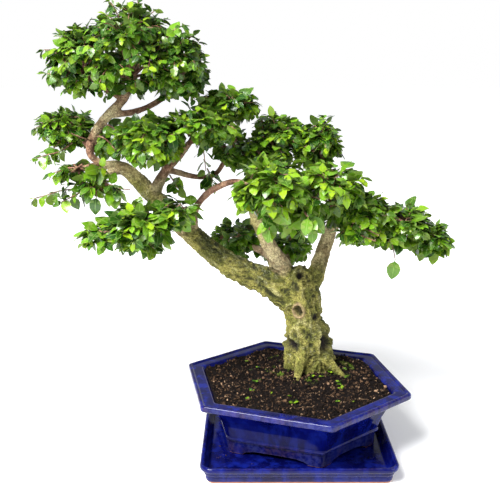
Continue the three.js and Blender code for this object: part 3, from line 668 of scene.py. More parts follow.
def icosahedron():
    """The twelve corners and twenty faces of a regular icosahedron of radius 1."""
    ring = np.arange(5) * 2 * np.pi / 5
    height = [0, 0, 1 / math.sqrt(5)]
    reach = 2 / math.sqrt(5)
    lower = reach * around(ring) - height
    upper = reach * around(ring + np.pi / 5) + height
    corners = np.vstack([lower, upper, [[0, 0, -1], [0, 0, 1]]])
    k = np.arange(5)
    after = (k + 1) % 5
    faces = np.vstack([
        np.stack([np.full(5, 10), after, k], -1),
        np.stack([k, after, k + 5], -1),
        np.stack([after, after + 5, k + 5], -1),
        np.stack([k + 5, after + 5, np.full(5, 11)], -1),
    ])
    return corners, faces


def octahedron():
    """The six corners and eight faces of a regular octahedron of radius 1."""
    corners = np.vstack([np.eye(3), -np.eye(3)])
    faces = [[0, 1, 2], [1, 3, 2], [3, 4, 2], [4, 0, 2], [1, 0, 5], [3, 1, 5], [4, 3, 5], [0, 4, 5]]
    return corners, np.array(faces)


def scattered(name, shape, faces, places, sizes, lying, shade, tan):
    """Copies of a small closed shape with its own jitter, strewn at places, as one piece."""
    bodies = np.einsum("nvc,ncd->nvd", shape * sizes[:, None], lying) + places[:, None]
    each = shape.shape[1]
    all_faces = repeated(faces, len(places), each).tolist()
    piece = new_piece(name, bodies.reshape(-1, 3), all_faces, earth, "potting_soil")
    from_trunk = np.hypot(*(places[:, :2] - TRUNK_FOOT).T)
    mossy = (from_trunk < MOSS_REACH) * np.clip(1.6 * lumps(places, MOSS_PATCH) - 0.2, 0, 0.9)
    paint(piece, "grain", [np.repeat(values, each) for values in (shade, tan, mossy)])
    return piece


def crumbs(name, rng, places, least, most, body):
    """Loose crumbs, half sunk: copies of a body with each corner pushed in or out, most of
    them dark."""
    count = len(places)
    corners, faces = body
    shape = corners * rng.uniform(*CRUMB_RAGGED, (count, len(corners), 1))
    across = least + (most - least) * rng.random((count, 1)) ** 2
    sizes = across / 2 * rng.uniform(*CRUMB_FLATNESS, (count, 3))
    places = places + [0, 0, CRUMB_RISE] * across * rng.random((count, 1))
    tan = (rng.random(count) < CRUMBS_TAN) * rng.uniform(0.3, 1, count)
    shade = rng.random(count) ** 6
    scattered(name, shape, faces, places, sizes, random_turns(rng, count), shade, tan)


def chips(rng):
    """Chips of bark: thin splintered slabs that lie at all angles."""
    corners = np.array(list(itertools.product((-1, 1), repeat=3)), float)
    faces = np.array([[0, 1, 3, 2], [4, 6, 7, 5], [0, 4, 5, 1], [2, 3, 7, 6], [0, 2, 6, 4], [1, 5, 7, 3]])
    shape = corners * rng.uniform(*CRUMB_RAGGED, (CHIP_COUNT, 8, 1))
    sizes = rng.uniform(*CHIP_HALF_SIZES, (CHIP_COUNT, 3))
    places = on_soil(rng, CHIP_COUNT) + [0, 0, CHIP_RISE]
    lying = random_turns(rng, CHIP_COUNT)
    shade, tan = rng.random((2, CHIP_COUNT)) ** [[5], [10]]
    piece = scattered("soil_bark_chips", shape, faces, places, sizes, lying, shade, tan)
    piece.data.shade_flat()


def unit(vectors):
    """Each vector made one long."""
    return vectors / np.linalg.norm(vectors, axis=-1, keepdims=True)


def tube_rings(paths, radii, sides):
    """Rings of points round paths: [path, ring, point, xyz]. At each point of a path stands a
    circle of its radius, square to the path's heading there."""
    heading = unit(np.gradient(paths, axis=1))
    aside = unit(np.cross(heading, ASIDE))
    square = np.cross(heading, aside)
    turn = turns(sides)[:, None]
    circle = np.cos(turn) * aside[:, :, None] + np.sin(turn) * square[:, :, None]
    return paths[:, :, None] + radii[..., None, None] * circle


def fibres(rng):
    """Fibres and rootlets: bent threads that lie on the soil."""
    middle = on_soil(rng, FIBRE_COUNT, FIBRE_MARGIN)
    turn = rng.uniform(0, 2 * np.pi, FIBRE_COUNT)
    ahead = around(turn)
    along = ahead * rng.uniform(*FIBRE_HALF_LENGTH, (FIBRE_COUNT, 1))
    across = ahead[:, [1, 0, 2]] * [-1, 1, 0] * rng.uniform(-FIBRE_BEND, FIBRE_BEND, (FIBRE_COUNT, 1))
    t = np.linspace(-1, 1, FIBRE_POINTS)[None, :, None]
    paths = middle[:, None] + along[:, None] * t + across[:, None] * (1 - t * t)
    paths[..., 2] = soil_height(paths[..., 0], paths[..., 1]) + FIBRE_RISE
    radii = rng.uniform(*FIBRE_RADIUS, (FIBRE_COUNT, 1)) * np.ones(FIBRE_POINTS)
    points, faces = lofted(tube_rings(paths, radii, FIBRE_SIDES))
    piece = new_piece("soil_fibres", points, faces, earth, "potting_soil")
    each = len(points) // FIBRE_COUNT
    paint(piece, "grain", [0.5, np.repeat(rng.random(FIBRE_COUNT) ** 3, each), 0])


# x, y and count of the crumbs that have fallen or washed onto the tray's floor
TRAY_CRUMBS = [[-96, -72, 18], [-101, -40, 9], [80, -111, 15], [92, -74, 12], [-60, -96, 6]]
TRAY_CRUMB_SPREAD = (4.5, 3.2, 0)
TRAY_CRUMB_SIZES = (0.7, 2.4)
TRAY_CRUMB_HEIGHT = TRAY_FLOOR + 0.5


def tray_crumbs(rng):
    """Crumbs strewn round a few places on the tray's floor."""
    heaps = [rng.normal((x, y, 0), TRAY_CRUMB_SPREAD, (count, 3)) for x, y, count in TRAY_CRUMBS]
    places = np.vstack(heaps) + [0, 0, TRAY_CRUMB_HEIGHT]
    crumbs("tray_crumbs", rng, places, *TRAY_CRUMB_SIZES, octahedron())


earth = potting_soil()
soil_draw = np.random.default_rng(SOIL_SEED)
soil_fill()
for name, (count, least, most), body in [("soil_crumbs", CRUMBS, octahedron()),
                                         ("soil_lumps", LUMPS, icosahedron())]:
    crumbs(name, soil_draw, on_soil(soil_draw, count), least, most, body)
chips(soil_draw)
fibres(soil_draw)
tray_crumbs(soil_draw)

# Wood: the trunk with its surface roots, the long leader that leans to the left, and every
# branch, all one grown piece. Its bark is rough, mossy olive on the old wood and brown on the
# young, with callused scars where branches were pruned. It stands in the soil.
TRUNK = [
    # x, y, z and radius along the middle
    [22, 40, 54, 26], [22, 40, 70, 30], [22, 40, 86, 31.5], [20.5, 40, 106, 32], [19, 40, 130, 30.5],
    [13.5, 40, 153, 25], [10, 40, 175, 25], [6, 40, 198, 24], [7, 38.5, 214, 19], [8, 37, 226, 11],
]
LEADER = [
    [11, 40, 172, 18], [-1, 40, 183, 21.5], [-13, 40, 192.5, 20.5], [-38, 40, 207, 18.5],
    [-65, 39, 220, 17], [-92, 38, 235, 15.8], [-118, 36, 256, 14.4], [-143, 34, 279, 12.8],
    [-171, 32, 311, 11.6], [-191, 30, 331, 10.6], [-212, 30, 353, 9.6], [-230, 31, 364, 7],
    [-249, 33, 366, 5.4], [-265, 34, 378, 5], [-263, 33, 396, 5.6], [-252, 31, 415, 6.2],
    [-234, 28, 434, 6], [-217, 24, 451, 5.2], [-207, 20, 474, 4],
]
BRANCHES = [
    # Middle branch to the front pad
    [[3, 40, 188, 15], [-12, 38, 222, 12], [-33, 32, 257, 9.8], [-49, 25, 292, 9],
     [-56, 12, 318, 7.2], [-55, -6, 338, 5.4], [-47, -24, 350, 3.8]],
    # Right branch to the front pad
    [[13, 40, 186, 14], [26, 42, 208, 11.8], [35, 45, 235, 10.5], [44, 48, 263, 9.3],
     [50, 50, 284, 7.8], [52, 44, 305, 5.6], [45, 22, 327, 4.4], [37, -4, 341, 3.6]],
    # Upper right pad
    [[-52, 25, 288, 8], [-49, 38, 320, 6.6], [-39, 54, 354, 5.2], [-27, 68, 384, 3.8]],
    [[52, 46, 292, 6], [51, 58, 326, 4.8], [41, 65, 360, 4.2], [34, 66, 386, 3.4]],
    # Right pad
    [[47, 49, 275, 7], [65, 42, 296, 5.8], [83, 28, 304, 4.6], [95, 20, 304, 3.6]],
    # Bare branch from the leader to the front pad
    [[-137, 35, 274, 8], [-130, 24, 309, 4.7], [-117, 16, 328, 4.4], [-101, 6, 340, 4.2],
     [-81, -8, 349, 3.8], [-61, -26, 350, 3.2]],
    # Lower left pad
    [[-145, 33, 280, 8], [-153, 12, 291, 6.2], [-165, -8, 296, 5], [-183, -22, 296, 3.8]],
    # Middle pad
    [[-187, 30, 325, 8.5], [-175, 20, 347, 7], [-166, 8, 363, 5.8], [-169, -6, 385, 4.4],
     [-176, -12, 399, 3.6]],
    [[-166, 9, 362, 5.4], [-148, 6, 380, 4.6], [-133, 5, 398, 3.8], [-121, 4, 411, 3.2]],
    # Middle upper pad
    [[-133, 5, 398, 4.2], [-122, 14, 415, 4], [-108, 29, 429, 3.6], [-93, 44, 437, 3.4]],
    # Thin branch, back to the centre sprig
    [[-168, 10, 360, 5], [-158, 26, 358, 4.2], [-140, 44, 350, 3.8], [-120, 52, 347, 3.5],
     [-103, 56, 353, 3.3], [-84, 62, 383, 3]],
    # Left finger and left tuft
    [[-219, 30, 359, 6], [-239, 26, 356, 4.6], [-252, 15, 350, 4], [-257, 10, 344, 3.4]],
    [[-249, 33, 367, 4.8], [-265, 20, 364, 4.2], [-283, 8, 361, 3.4]],
    # Upper left pad
    [[-264, 34, 384, 4.8], [-275, 50, 394, 4.4], [-289, 64, 403, 4], [-301, 73, 409, 3.4]],
    # Crown, right and left
    [[-239, 29, 430, 5.2], [-221, 28, 431, 4.4], [-202, 27, 434, 4], [-181, 26, 443, 3.8],
     [-163, 25, 456, 3.5], [-150, 25, 473, 3]],
    [[-219, 25, 449, 4.9], [-239, 22, 462, 4.2], [-261, 20, 477, 3.2]],
    # Back pad
    [[-23, 40, 226, 10], [-33, 62, 238, 6.6], [-51, 88, 242, 5], [-69, 108, 245, 3.8]],
    [[-9, 44, 206, 10], [-9, 70, 222, 6.4], [-9, 95, 231, 4.8], [-9, 112, 234, 3.6]],
]
ROOTS = [
    [[12, 17, 118, 9], [8, 8, 105, 7], [5, 1, 94, 5.5], [1, -6, 80, 4]],
    [[34, 23, 112, 11], [46, 17, 100, 7.5], [56, 14, 91, 5.5], [69, 12, 79, 3.6]],
    [[42, 50, 108, 11], [50, 56, 95, 8], [57, 64, 85, 6], [65, 73, 75, 3.6]],
    [[2, 36, 118, 13], [-2, 34, 104, 11.5], [-4, 31, 91, 9.5], [-6, 28, 77, 7]],
    [[4, 50, 112, 12], [-3, 58, 97, 9], [-7, 66, 85, 6.5], [-12, 75, 75, 4]],
    [[27, 60, 112, 12], [30, 72, 98, 9], [31, 81, 86, 6], [31, 88, 76, 3.4]],
]
SCARS = [
    # x and z of the middle, half width, half height, depth, how dark the painted shade in the hollow is,
    # its lip
    [5, 173, 5.5, 7.5, 4.5, 0.9, 3], [7, 220, 5, 5.5, 6, 1, 2.4], [42, 127, 8, 14, 7, 1, 1.5],
    [-5, 125, 9, 7, 7, 1, 2], [29, 163, 5, 5, 3.5, 1, 1.8], [-66, 224, 5, 3, 1.5, 0.5, 1],
]
SCAR_RAGGED = 0.2
SCAR_RAGGED_SIZE = 5
# where a scar's hollow ends, and the middle and width of its lip, as shares of its size
SCAR_HOLLOW = 0.9
SCAR_LIP = (1.2, 0.32)
CALLUS_LIP = 2.8
CALLUS_SHARE = 0.85
LIMB_STEPS = 10
LIMB_SIDES = 20
TRUNK_SIDES = 40
WOOD_GRAIN = 1.3
WOOD_EASING = (0.5, 4)
FLUTE_DEPTH = 1.5
FLUTES = [
    # how many round the trunk, how fast they turn as they climb it, and their share of the depth
    [4, 0.5, 1], [2, -0.9, 0.8],
]
OLD_RADIUS = 19
YOUNG_RADIUS = 4
MOSSY_RADIUS = 11.5
NEAREST_BATCH = 8000
ROPE_WIDTH = 7.5
ROPE_HEIGHT = 3.5
ROPE_LEVEL = 0.4
ROPE_SHARPNESS = 4
ROPE_LENGTHENING = 0.22
BURL_WIDTH = 13
BURL_HEIGHT = 2.6
BURL_LEVEL = 0.15
WRINKLE_WIDTH = 5.5
WRINKLE_HEIGHT = 2.2
WRINKLE_LEVEL = 0.4
WRINKLE_SHARPNESS = 3
WRINKLE_SHORTENING = 1.5
FLAKE_WIDTH = 3
FLAKE_HEIGHT = 1.3
TWIST = 3
TWIST_SIZE = 20
# how many times the measured radius, the age and the moss are eased over the skin
RADIUS_EASING = 12
AGE_EASING = 10
MOSS_EASING = 6
BASE_BELOW = 125
BASE_AGE = 0.9
AGE_PATCH = 30
AGE_PATCHINESS = 0.25
# how dark the painted shade in a crack is, from 0 to 1: the first number less the relief's height over
# the second
CRACK_SHADE_DARKNESS = (1.2, 0.45)
WRINKLES_IN_CRACK_SHADE = 0.8
RIDGE_HIGHLIGHT_ABOVE = 0.6
RIDGE_HIGHLIGHT_STRENGTH = 2.5
MOSS_SIDE = np.array([0.15, -0.1, 0.9])
MOSS_CLUMP = 22
MOSS_CLUMPINESS = 0.5
MOSSY_BARK = ((0.2, 0.205, 0.04), (0.4, 0.37, 0.095))
BRANCH_BARK = ((0.3, 0.22, 0.12), (0.56, 0.48, 0.28))
YOUNG_BARK = ((0.16, 0.075, 0.045), (0.42, 0.24, 0.16))
BARK_RIDGE_HIGHLIGHT = (0.6, 0.56, 0.27)
BARK_CRACK_SHADE = (0.02, 0.022, 0.008)
LICHEN = (0.55, 0.53, 0.36)
BARK_MOSS = ((0.03, 0.045, 0.015), (0.4, 0.42, 0.28))
# how the fine grain darkens young and old bark, and lights both
GRAIN_HOLLOWS = ((0.6, 0.55, 0.5), (0.4, 0.38, 0.31))
GRAIN_TOPS = (1.15, 1.15, 1.1)
CALLUS = ((0.26, 0.15, 0.07), (0.58, 0.44, 0.26))
HOLLOW_SHADE_COLOUR = (0.014, 0.01, 0.008)


def curve_through(points, steps):
    """A smooth curve through points, the Catmull-Rom one: between two points runs the cubic
    that leaves and meets them in the direction from their neighbour to the next one."""
    points = np.array(points, float)
    ends = np.vstack([2 * points[0] - points[1], points, 2 * points[-1] - points[-2]])
    a, b, c, d = ends[:-3], ends[1:-2], ends[2:-1], ends[3:]
    t = np.linspace(0, 1, steps, endpoint=False)[:, None, None]
    curve = b + 0.5 * t * (c - a + t * (2 * a - 5 * b + 4 * c - d + t * (3 * (b - c) + d - a)))
    return np.vstack([curve.transpose(1, 0, 2).reshape(-1, points.shape[1]), points[-1:]])


def nearest_limb(points, middles):
    """For each point, the index of the place on the limbs' middles whose surface is nearest."""
    found = []
    for start in range(0, len(points), NEAREST_BATCH):
        batch = points[start:start + NEAREST_BATCH]
        square = (batch ** 2).sum(1)[:, None] - 2 * batch @ middles[:, :3].T
        square = square + (middles[:, :3] ** 2).sum(1)
        found.append(np.argmin(np.sqrt(np.maximum(square, 0)) - middles[:, 3], axis=1))
    return np.concatenate(found)


def privet_bark():
    """Rough bark: olive with moss on old wood, grey-brown to tan on young branches, with painted shade
    darkening its cracks, a painted highlight on its ridges, pale patches of lichen, and painted
    near-black shade in the hollows of the scars."""
    bark = Finish("privet_bark", {"Roughness": 0.82, "Specular IOR Level": 0.3})
    old = bark.channel("bark", "Red")
    hollow_shade = bark.channel("bark", "Green")
    crack_shade = bark.channel("bark", "Blue")
    moss = bark.channel("growth_and_ridge_highlight", "Red")
    ridge_highlight = bark.channel("growth_and_ridge_highlight", "Green")
    callus = bark.channel("growth_and_ridge_highlight", "Blue")
    wide = bark.noise(15, 4, 0.6)
    fine = bark.noise(2.2, 5, 0.75)
    patches = bark.between(wide, 0.4, 0.6)
    olive = bark.mix(patches, *MOSSY_BARK)
    tan = bark.mix(patches, *BRANCH_BARK)
    brown = bark.mix(patches, *YOUNG_BARK)
    colour = bark.mix(bark.between(old, 0, 0.35), brown, tan)
    colour = bark.mix(bark.between(old, 0.35, 0.72), colour, olive)
    # painted highlight on the ropes' ridges
    colour = bark.mix(bark.math("MULTIPLY", ridge_highlight, 0.7), colour, BARK_RIDGE_HIGHLIGHT)
    lichen = bark.between(bark.noise(9, 5, 0.7), 0.58, 0.7)
    colour = bark.mix(bark.math("MULTIPLY", lichen, 0.5), colour, LICHEN)
    flecks = bark.between(bark.noise(4, 4, 0.7), 0.52, 0.64)
    speckled = bark.mix(flecks, *BARK_MOSS)
    mossy = bark.math("MULTIPLY", moss, bark.between(bark.noise(7, 3), 0.3, 0.6))
    colour = bark.mix(mossy, colour, speckled)
    hollows = bark.mix(old, *GRAIN_HOLLOWS)
    grain = bark.mix(bark.between(fine, 0.38, 0.62), hollows, GRAIN_TOPS)
    colour = bark.mix(1.0, colour, grain, "MULTIPLY")
    # painted shade in the cracks between the ropes
    colour = bark.mix(bark.math("MULTIPLY", crack_shade, 0.9), colour, BARK_CRACK_SHADE)
    colour = bark.mix(callus, colour, bark.mix(fine, *CALLUS))
    # painted near-black shade in the scars' hollows
    colour = bark.mix(hollow_shade, colour, HOLLOW_SHADE_COLOUR)
    plates = bark.cells(3.4, feature="DISTANCE_TO_EDGE")
    relief = bark.bump(bark.between(plates, 0, 0.25), 1)
    return bark.done({"Base Color": colour, "Normal": bark.bump(fine, 1.8, relief)})


def trunk_swelling(rings):
    """Old flutes that twist as they climb the trunk: sums of two waves round it."""
    rows, sides = rings.shape[1:3]
    climb = np.arange(rows)[:, None] / LIMB_STEPS * 2
    turn = turns(sides)
    waves = sum(share * np.sin(count * turn + speed * climb) for count, speed, share in FLUTES)
    middle = rings.mean(2, keepdims=True)
    return rings + unit(rings - middle) * (FLUTE_DEPTH * waves)[..., None]


def joined(bodies):
    """The points and faces of several bodies as one: each one's faces count on from the points
    of those before it."""
    points, faces = [], []
    for more_points, more_faces in bodies:
        first = sum(map(len, points))
        points.append(more_points)
        faces += [[corner + first for corner in face] for face in more_faces]
    return np.vstack(points), faces


def joined_limbs(trunk, *limbs):
    """All limbs as tubes, melted together by a remesh into one skin and smoothed a little."""
    tubes = [trunk_swelling(tube_rings(trunk[None, :, :3], trunk[None, :, 3], TRUNK_SIDES))]
    tubes += [tube_rings(limb[None, :, :3], limb[None, :, 3], LIMB_SIDES) for limb in limbs]
    tree = new_piece("bare_tree", *joined(map(lofted, tubes)), bark, "privet_bark", ["tree_wood"])
    melt = tree.modifiers.new("grown_together", "REMESH")
    melt.mode = "VOXEL"
    melt.voxel_size = WOOD_GRAIN * MM
    ease = tree.modifiers.new("eased", "SMOOTH")
    ease.factor, ease.iterations = WOOD_EASING
    settle(tree)
    tree.data.shade_smooth()
    return tree


def scar_relief(points, normals):
    """How far each scar lifts its lip and sinks its hollow, how dark the painted shade in that hollow
    is, and the bare callus on a high lip."""
    lift, dark, callus = np.zeros((3, len(points)))
    front = np.clip(0.9 - normals[:, 1] * 2, 0, 1)
    ragged = SCAR_RAGGED * lumps(points, SCAR_RAGGED_SIZE)
    for x, z, half_width, half_height, depth, hollow_shading, lip_height in SCARS:
        apart = np.hypot((points[:, 0] - x) / half_width, (points[:, 2] - z) / half_height) + ragged
        hollow = np.exp(-(apart / SCAR_HOLLOW) ** 6) * front
        lip = np.exp(-((apart - SCAR_LIP[0]) / SCAR_LIP[1]) ** 2) * front
        lift += lip_height * lip - depth * hollow
        # painted shade, darkest in the middle of the hollow
        dark = np.maximum(dark, hollow_shading * hollow)
        callus = np.maximum(callus, CALLUS_SHARE * lip * (lip_height > CALLUS_LIP))
    return lift, dark, callus


def eased(values, edges, times):
    """Each point's value replaced a few times by the mean of its neighbours' values."""
    ends = np.concatenate([edges, edges[:, ::-1]])
    neighbours = np.bincount(ends[:, 0], minlength=len(values))
    for _ in range(times):
        values = np.bincount(ends[:, 0], values[ends[:, 1]], len(values)) / neighbours
    return values


def on_limbs(points, curves):
    """Each point's place on the limb nearest to it: its limb's radius there, and its offset
    from the limb's middle with the length along the limb as the third number. The offset is
    measured along two directions square to the limb, which turn with it."""
    middles = np.vstack(curves)
    heading = np.vstack([unit(np.gradient(curve[:, :3], axis=0)) for curve in curves])
    steps = [np.linalg.norm(np.diff(curve[:, :3], axis=0), axis=1) for curve in curves]
    length = np.concatenate([np.append(0, np.cumsum(step)) for step in steps])
    aside = unit(np.cross(heading, ASIDE))
    square = np.cross(heading, aside)
    nearest = nearest_limb(points, middles)
    offset = points - middles[nearest, :3]
    first, second, third = (np.sum(offset * axis[nearest], axis=1) for axis in (aside, square, heading))
    return middles[nearest, 3], np.stack([first, second, length[nearest] + third], -1)


def grow_bark(tree, curves):
    """Moves the skin in and out along its normals: ropes drawn out along each limb and short
    wrinkles, which are high where a noise is near 0, burls where another is high, and flakes.
    It marks the age of the wood, painted shade in the scars' hollows and in the cracks, moss on top, a
    painted highlight on the ridges, and callus."""
    count = len(tree.data.vertices)
    points, normals = np.empty((2, count * 3))
    edges = np.empty(len(tree.data.edges) * 2, np.int32)
    tree.data.vertices.foreach_get("co", points)
    tree.data.vertices.foreach_get("normal", normals)
    tree.data.edges.foreach_get("vertices", edges)
    points, normals = points.reshape(-1, 3) / MM, normals.reshape(-1, 3)
    edges = edges.reshape(-1, 2)
    radius, place = on_limbs(points, curves)
    radius = eased(radius, edges, RADIUS_EASING)
    grain = place * [1, 1, ROPE_LENGTHENING] + 70 + 0.25 * radius[:, None]
    twist = TWIST * lumps_each_way(points, TWIST_SIZE, shift=31)
    ropes = eased((1 - np.abs(lumps(grain + twist, ROPE_WIDTH))) ** ROPE_SHARPNESS, edges, 1)
    burls = np.clip(lumps(points + 13, BURL_WIDTH), 0, 1) ** 1.5
    shortened = points * [1, 1, WRINKLE_SHORTENING] + 2 * twist
    wrinkles = (1 - np.abs(lumps(shortened, WRINKLE_WIDTH))) ** WRINKLE_SHARPNESS
    flakes = lumps(grain * [1, 1, 2] + twist, FLAKE_WIDTH)
    old = np.clip(radius / OLD_RADIUS, 0.1, 1)
    lift, dark, callus = scar_relief(points, normals)
    swell = ROPE_HEIGHT * (ropes - ROPE_LEVEL) * old ** 1.3
    swell += BURL_HEIGHT * (burls - BURL_LEVEL) * old ** 2
    swell += FLAKE_HEIGHT * flakes * old + WRINKLE_HEIGHT * (wrinkles - WRINKLE_LEVEL) * old ** 1.5
    moved = points + normals * (swell + lift)[:, None]
    tree.data.vertices.foreach_set("co", (moved * MM).ravel())
    tree.data.update()
    age = np.clip((radius - YOUNG_RADIUS) / (OLD_RADIUS - YOUNG_RADIUS), 0, 1) ** 0.7
    age = np.where(points[:, 2] < BASE_BELOW, BASE_AGE, age)
    age = np.clip(age + AGE_PATCHINESS * lumps(points, AGE_PATCH), 0, 1)
    # painted shade, darker where the relief is low
    height = ropes + WRINKLES_IN_CRACK_SHADE * wrinkles
    crack_shade = np.clip(CRACK_SHADE_DARKNESS[0] - height / CRACK_SHADE_DARKNESS[1], 0, 1) * old
    moss = np.clip(normals @ MOSS_SIDE - 0.05 + MOSS_CLUMPINESS * lumps(points, MOSS_CLUMP), 0, 1)
    moss *= radius > MOSSY_RADIUS
    # painted highlight: paler where the ropes stand highest
    ridge_highlight = np.clip(ropes - RIDGE_HIGHLIGHT_ABOVE, 0, 1) * RIDGE_HIGHLIGHT_STRENGTH * old
    # bark carries the age of the wood, the painted shade of the scars' hollows, and the painted shade of
    # the cracks
    paint(tree, "bark", [eased(age, edges, AGE_EASING), dark, crack_shade])
    # growth carries moss, the painted highlight on the ridges, and callus
    paint(tree, "growth_and_ridge_highlight", [eased(moss, edges, MOSS_EASING), ridge_highlight, callus])


bark = privet_bark()
limb_curves = [curve_through(points, LIMB_STEPS) for points in [TRUNK, LEADER, *BRANCHES, *ROOTS]]
bare_tree = joined_limbs(*limb_curves)
grow_bark(bare_tree, limb_curves)

# Leaf pads: clouds of leafy shoots on the branch ends, kept in shape by clipping. From each
# branch a few arms fork out inside the pad, shoots stand on the arms, and oval leaves stand on
# the shoots in pairs, each pair square to the last one.
PADS = {
    # lobes: x, y, z, half width, half depth, height above and height below the middle
    # twigs: points of a shoot that reaches out of the pad; bare: of one without leaves
    # hanging: points of a shoot with one leaf, and that leaf's length
    # leaf: a leaf's length; room: how many such lengths each shoot has beside it
    # fresh: the share of new leaves; dark: how strongly most keep to the dark greens, which above the
    # usual 1.5 paints shade over the whole pad and below it paints light
    "crown": {
        "lobes": [[-263, 20, 490, 52, 68, 54, 46], [-208, 20, 494, 72, 88, 72, 50],
                  [-152, 25, 486, 47, 66, 52, 48]],
        "twigs": [[[-285, 0, 480], [-295, -5, 478], [-304, -8, 480]],
                  [[-205, 10, 530], [-203, 6, 545], [-200, 4, 555]],
                  [[-160, 0, 520], [-150, -14, 530], [-141, -22, 534]]],
        "leaf": 18,
        "fresh": 0.15,
        # painted shade: the crown's leaves darker
        "dark": 3,
    },
    "upper_left": {
        "lobes": [[-303, 72, 408, 45, 56, 30, 28], [-249, 76, 392, 27, 34, 24, 26]],
        "twigs": [[[-305, 66, 402], [-315, 56, 388], [-323, 52, 378], [-327, 50, 372]],
                  [[-256, 32, 402], [-246, 18, 402], [-236, 10, 396], [-228, 6, 386]],
                  [[-250, 30, 418], [-238, 26, 416], [-226, 22, 408], [-219, 20, 400]],
                  [[-256, 38, 408], [-246, 52, 412], [-236, 62, 410]],
                  [[-292, 50, 392], [-306, 40, 382], [-322, 34, 378], [-334, 30, 374]]],
        "bare": [[[-262, 30, 396], [-270, 10, 402], [-281, 0, 408]]],
        "leaf": 17,
        "fresh": 0.12,
    },
    "left_finger": {
        "lobes": [[-248, 8, 343, 30, 34, 12, 15]],
        "twigs": [[[-258, 8, 343], [-278, 3, 339], [-300, 0, 336], [-316, -2, 331], [-331, -3, 327]],
                  [[-259, 8, 341], [-272, 0, 335], [-286, -6, 328], [-295, -8, 324]],
                  [[-256, 12, 346], [-270, 8, 344], [-286, 6, 344]],
                  [[-259, 14, 342], [-265, 30, 337], [-273, 42, 334]],
                  [[-244, 8, 342], [-234, 0, 338], [-226, -4, 336]]],
        "bare": [[[-232, 4, 340], [-222, 0, 339], [-210, -2, 338]]],
        "hanging": [[[[-252, 4, 340], [-252, -6, 336], [-251, -10, 331]], 24]],
        "leaf": 20,
        "room": 1.7,
        "fresh": 0.25,
    },
    "left_tuft": {
        "lobes": [[-276, 8, 363, 26, 28, 13, 13]],
        "twigs": [[[-280, 6, 362], [-292, 0, 362], [-304, -4, 360]],
                  [[-262, 12, 366], [-252, 2, 364], [-244, -4, 366]],
                  [[-270, 14, 364], [-262, 6, 356], [-254, 0, 352]]],
        "leaf": 20,
        "room": 1.6,
        "fresh": 0.3,
    },
    "lower_left": {
        "lobes": [[-241, -20, 284, 34, 42, 22, 24], [-193, -25, 294, 48, 60, 34, 36],
                  [-153, -22, 312, 34, 34, 22, 20]],
        "leaf": 22,
        "fresh": 0.22,
        # painted shade: this pad's leaves darker
        "dark": 1.8,
    },
    "middle": {
        "lobes": [[-182, -15, 400, 50, 60, 34, 36], [-119, 5, 414, 50, 58, 33, 28]],
        "twigs": [[[-123, 6, 408], [-119, 26, 384], [-117, 34, 358]],
                  [[-164, 34, 352], [-158, 22, 346], [-152, 14, 338]],
                  [[-116, 52, 358], [-112, 42, 352], [-109, 36, 342]]],
        "leaf": 20,
        "fresh": 0.3,
        # painted shade: this pad's leaves darker
        "dark": 2.6,
    },
    "middle_upper": {
        "lobes": [[-85, 42, 442, 45, 50, 24, 24]],
        "leaf": 17,
        "fresh": 0.2,
    },
    "centre_sprig": {
        "lobes": [[-83, 62, 384, 26, 30, 24, 26], [-57, 62, 376, 28, 32, 30, 30]],
        "leaf": 17,
        "fresh": 0.08,
    },
    "upper_right": {
        "lobes": [[-19, 76, 394, 46, 58, 36, 33], [31, 68, 388, 36, 50, 38, 38]],
        "twigs": [[[-19, 66, 404], [-27, 60, 416], [-30, 58, 424]]],
        "leaf": 18,
        "fresh": 0.2,
    },
    "front": {
        "lobes": [[-33, -45, 345, 58, 62, 42, 38], [-11, -30, 312, 40, 40, 26, 26],
                  [34, -26, 341, 52, 60, 40, 40]],
        "twigs": [[[-33, -60, 336], [-37, -74, 318], [-37, -80, 302]],
                  [[5, -50, 332], [9, -66, 316], [13, -74, 304]]],
        "hanging": [[[[-30, -60, 322], [-32, -72, 317], [-35, -78, 313]], 27],
                    [[[4, -62, 322], [6, -74, 319], [8, -80, 318]], 23]],
        "leaf": 23,
        "fresh": 0.35,
        # painted light: the front pad's leaves lighter
        "dark": 1.2,
    },
    "right": {
        "lobes": [[81, 8, 298, 48, 62, 40, 40], [134, 15, 288, 48, 60, 32, 26],
                  [174, 14, 270, 30, 36, 24, 22]],
        "twigs": [[[118, 0, 290], [126, -6, 276], [130, -8, 270]]],
        "bare": [[[60, 5, 290], [71, -30, 297], [84, -46, 295], [96, -52, 290]],
                 [[58, 0, 284], [74, -34, 287], [93, -48, 282]]],
        "hanging": [[[[116, -2, 280], [122, -8, 264], [125, -10, 250]], 27]],
        "leaf": 19,
        "fresh": 0.15,
    },
    "back": {
        "lobes": [[-79, 116, 247, 42, 48, 30, 28], [-11, 120, 237, 46, 48, 26, 26]],
        "leaf": 18,
        "fresh": 0.05,
    },
}
GOLDEN_ANGLE = math.pi * (3 - math.sqrt(5))
UP = np.array([0.0, 0.0, 1.0])
ARMS_PER_LOBE = 11
ARM_REACH = 0.5
ARM_LIFT = 0.06
ARM_POINTS = 6
ARM_SIDES = 6
ARM_RADII = (2.4, 1.2)
SHOOT_ROOM = 1.3
SHOOT_REACH = (0.74, 0.98)
SHOOT_CLUMP = 22
SHOOT_CLUMP_REACH = 0.16
SHOOT_GAP_BELOW = -0.52
SHOOTS_THINNED_BELOW = 0.6
LONG_SHOOTS = 0.05
LONG_SHOOT_REACH = 1.13
SHOOT_POINTS = 5
SHOOT_SIDES = 4
SHOOT_RADII = (1.1, 0.5)
SHOOT_LIFT = 0.16
SHOOT_SHORT_OF_EDGE = 0.35
SHOOT_STRAY = 0.06
LOBE_OVERLAP = 0.72
LEAF_PAIRS = 4
LEAVES_FROM = 0.25
LEAF_WIDTH = (0.54, 0.72)
LEAF_THICKNESS = 0.32
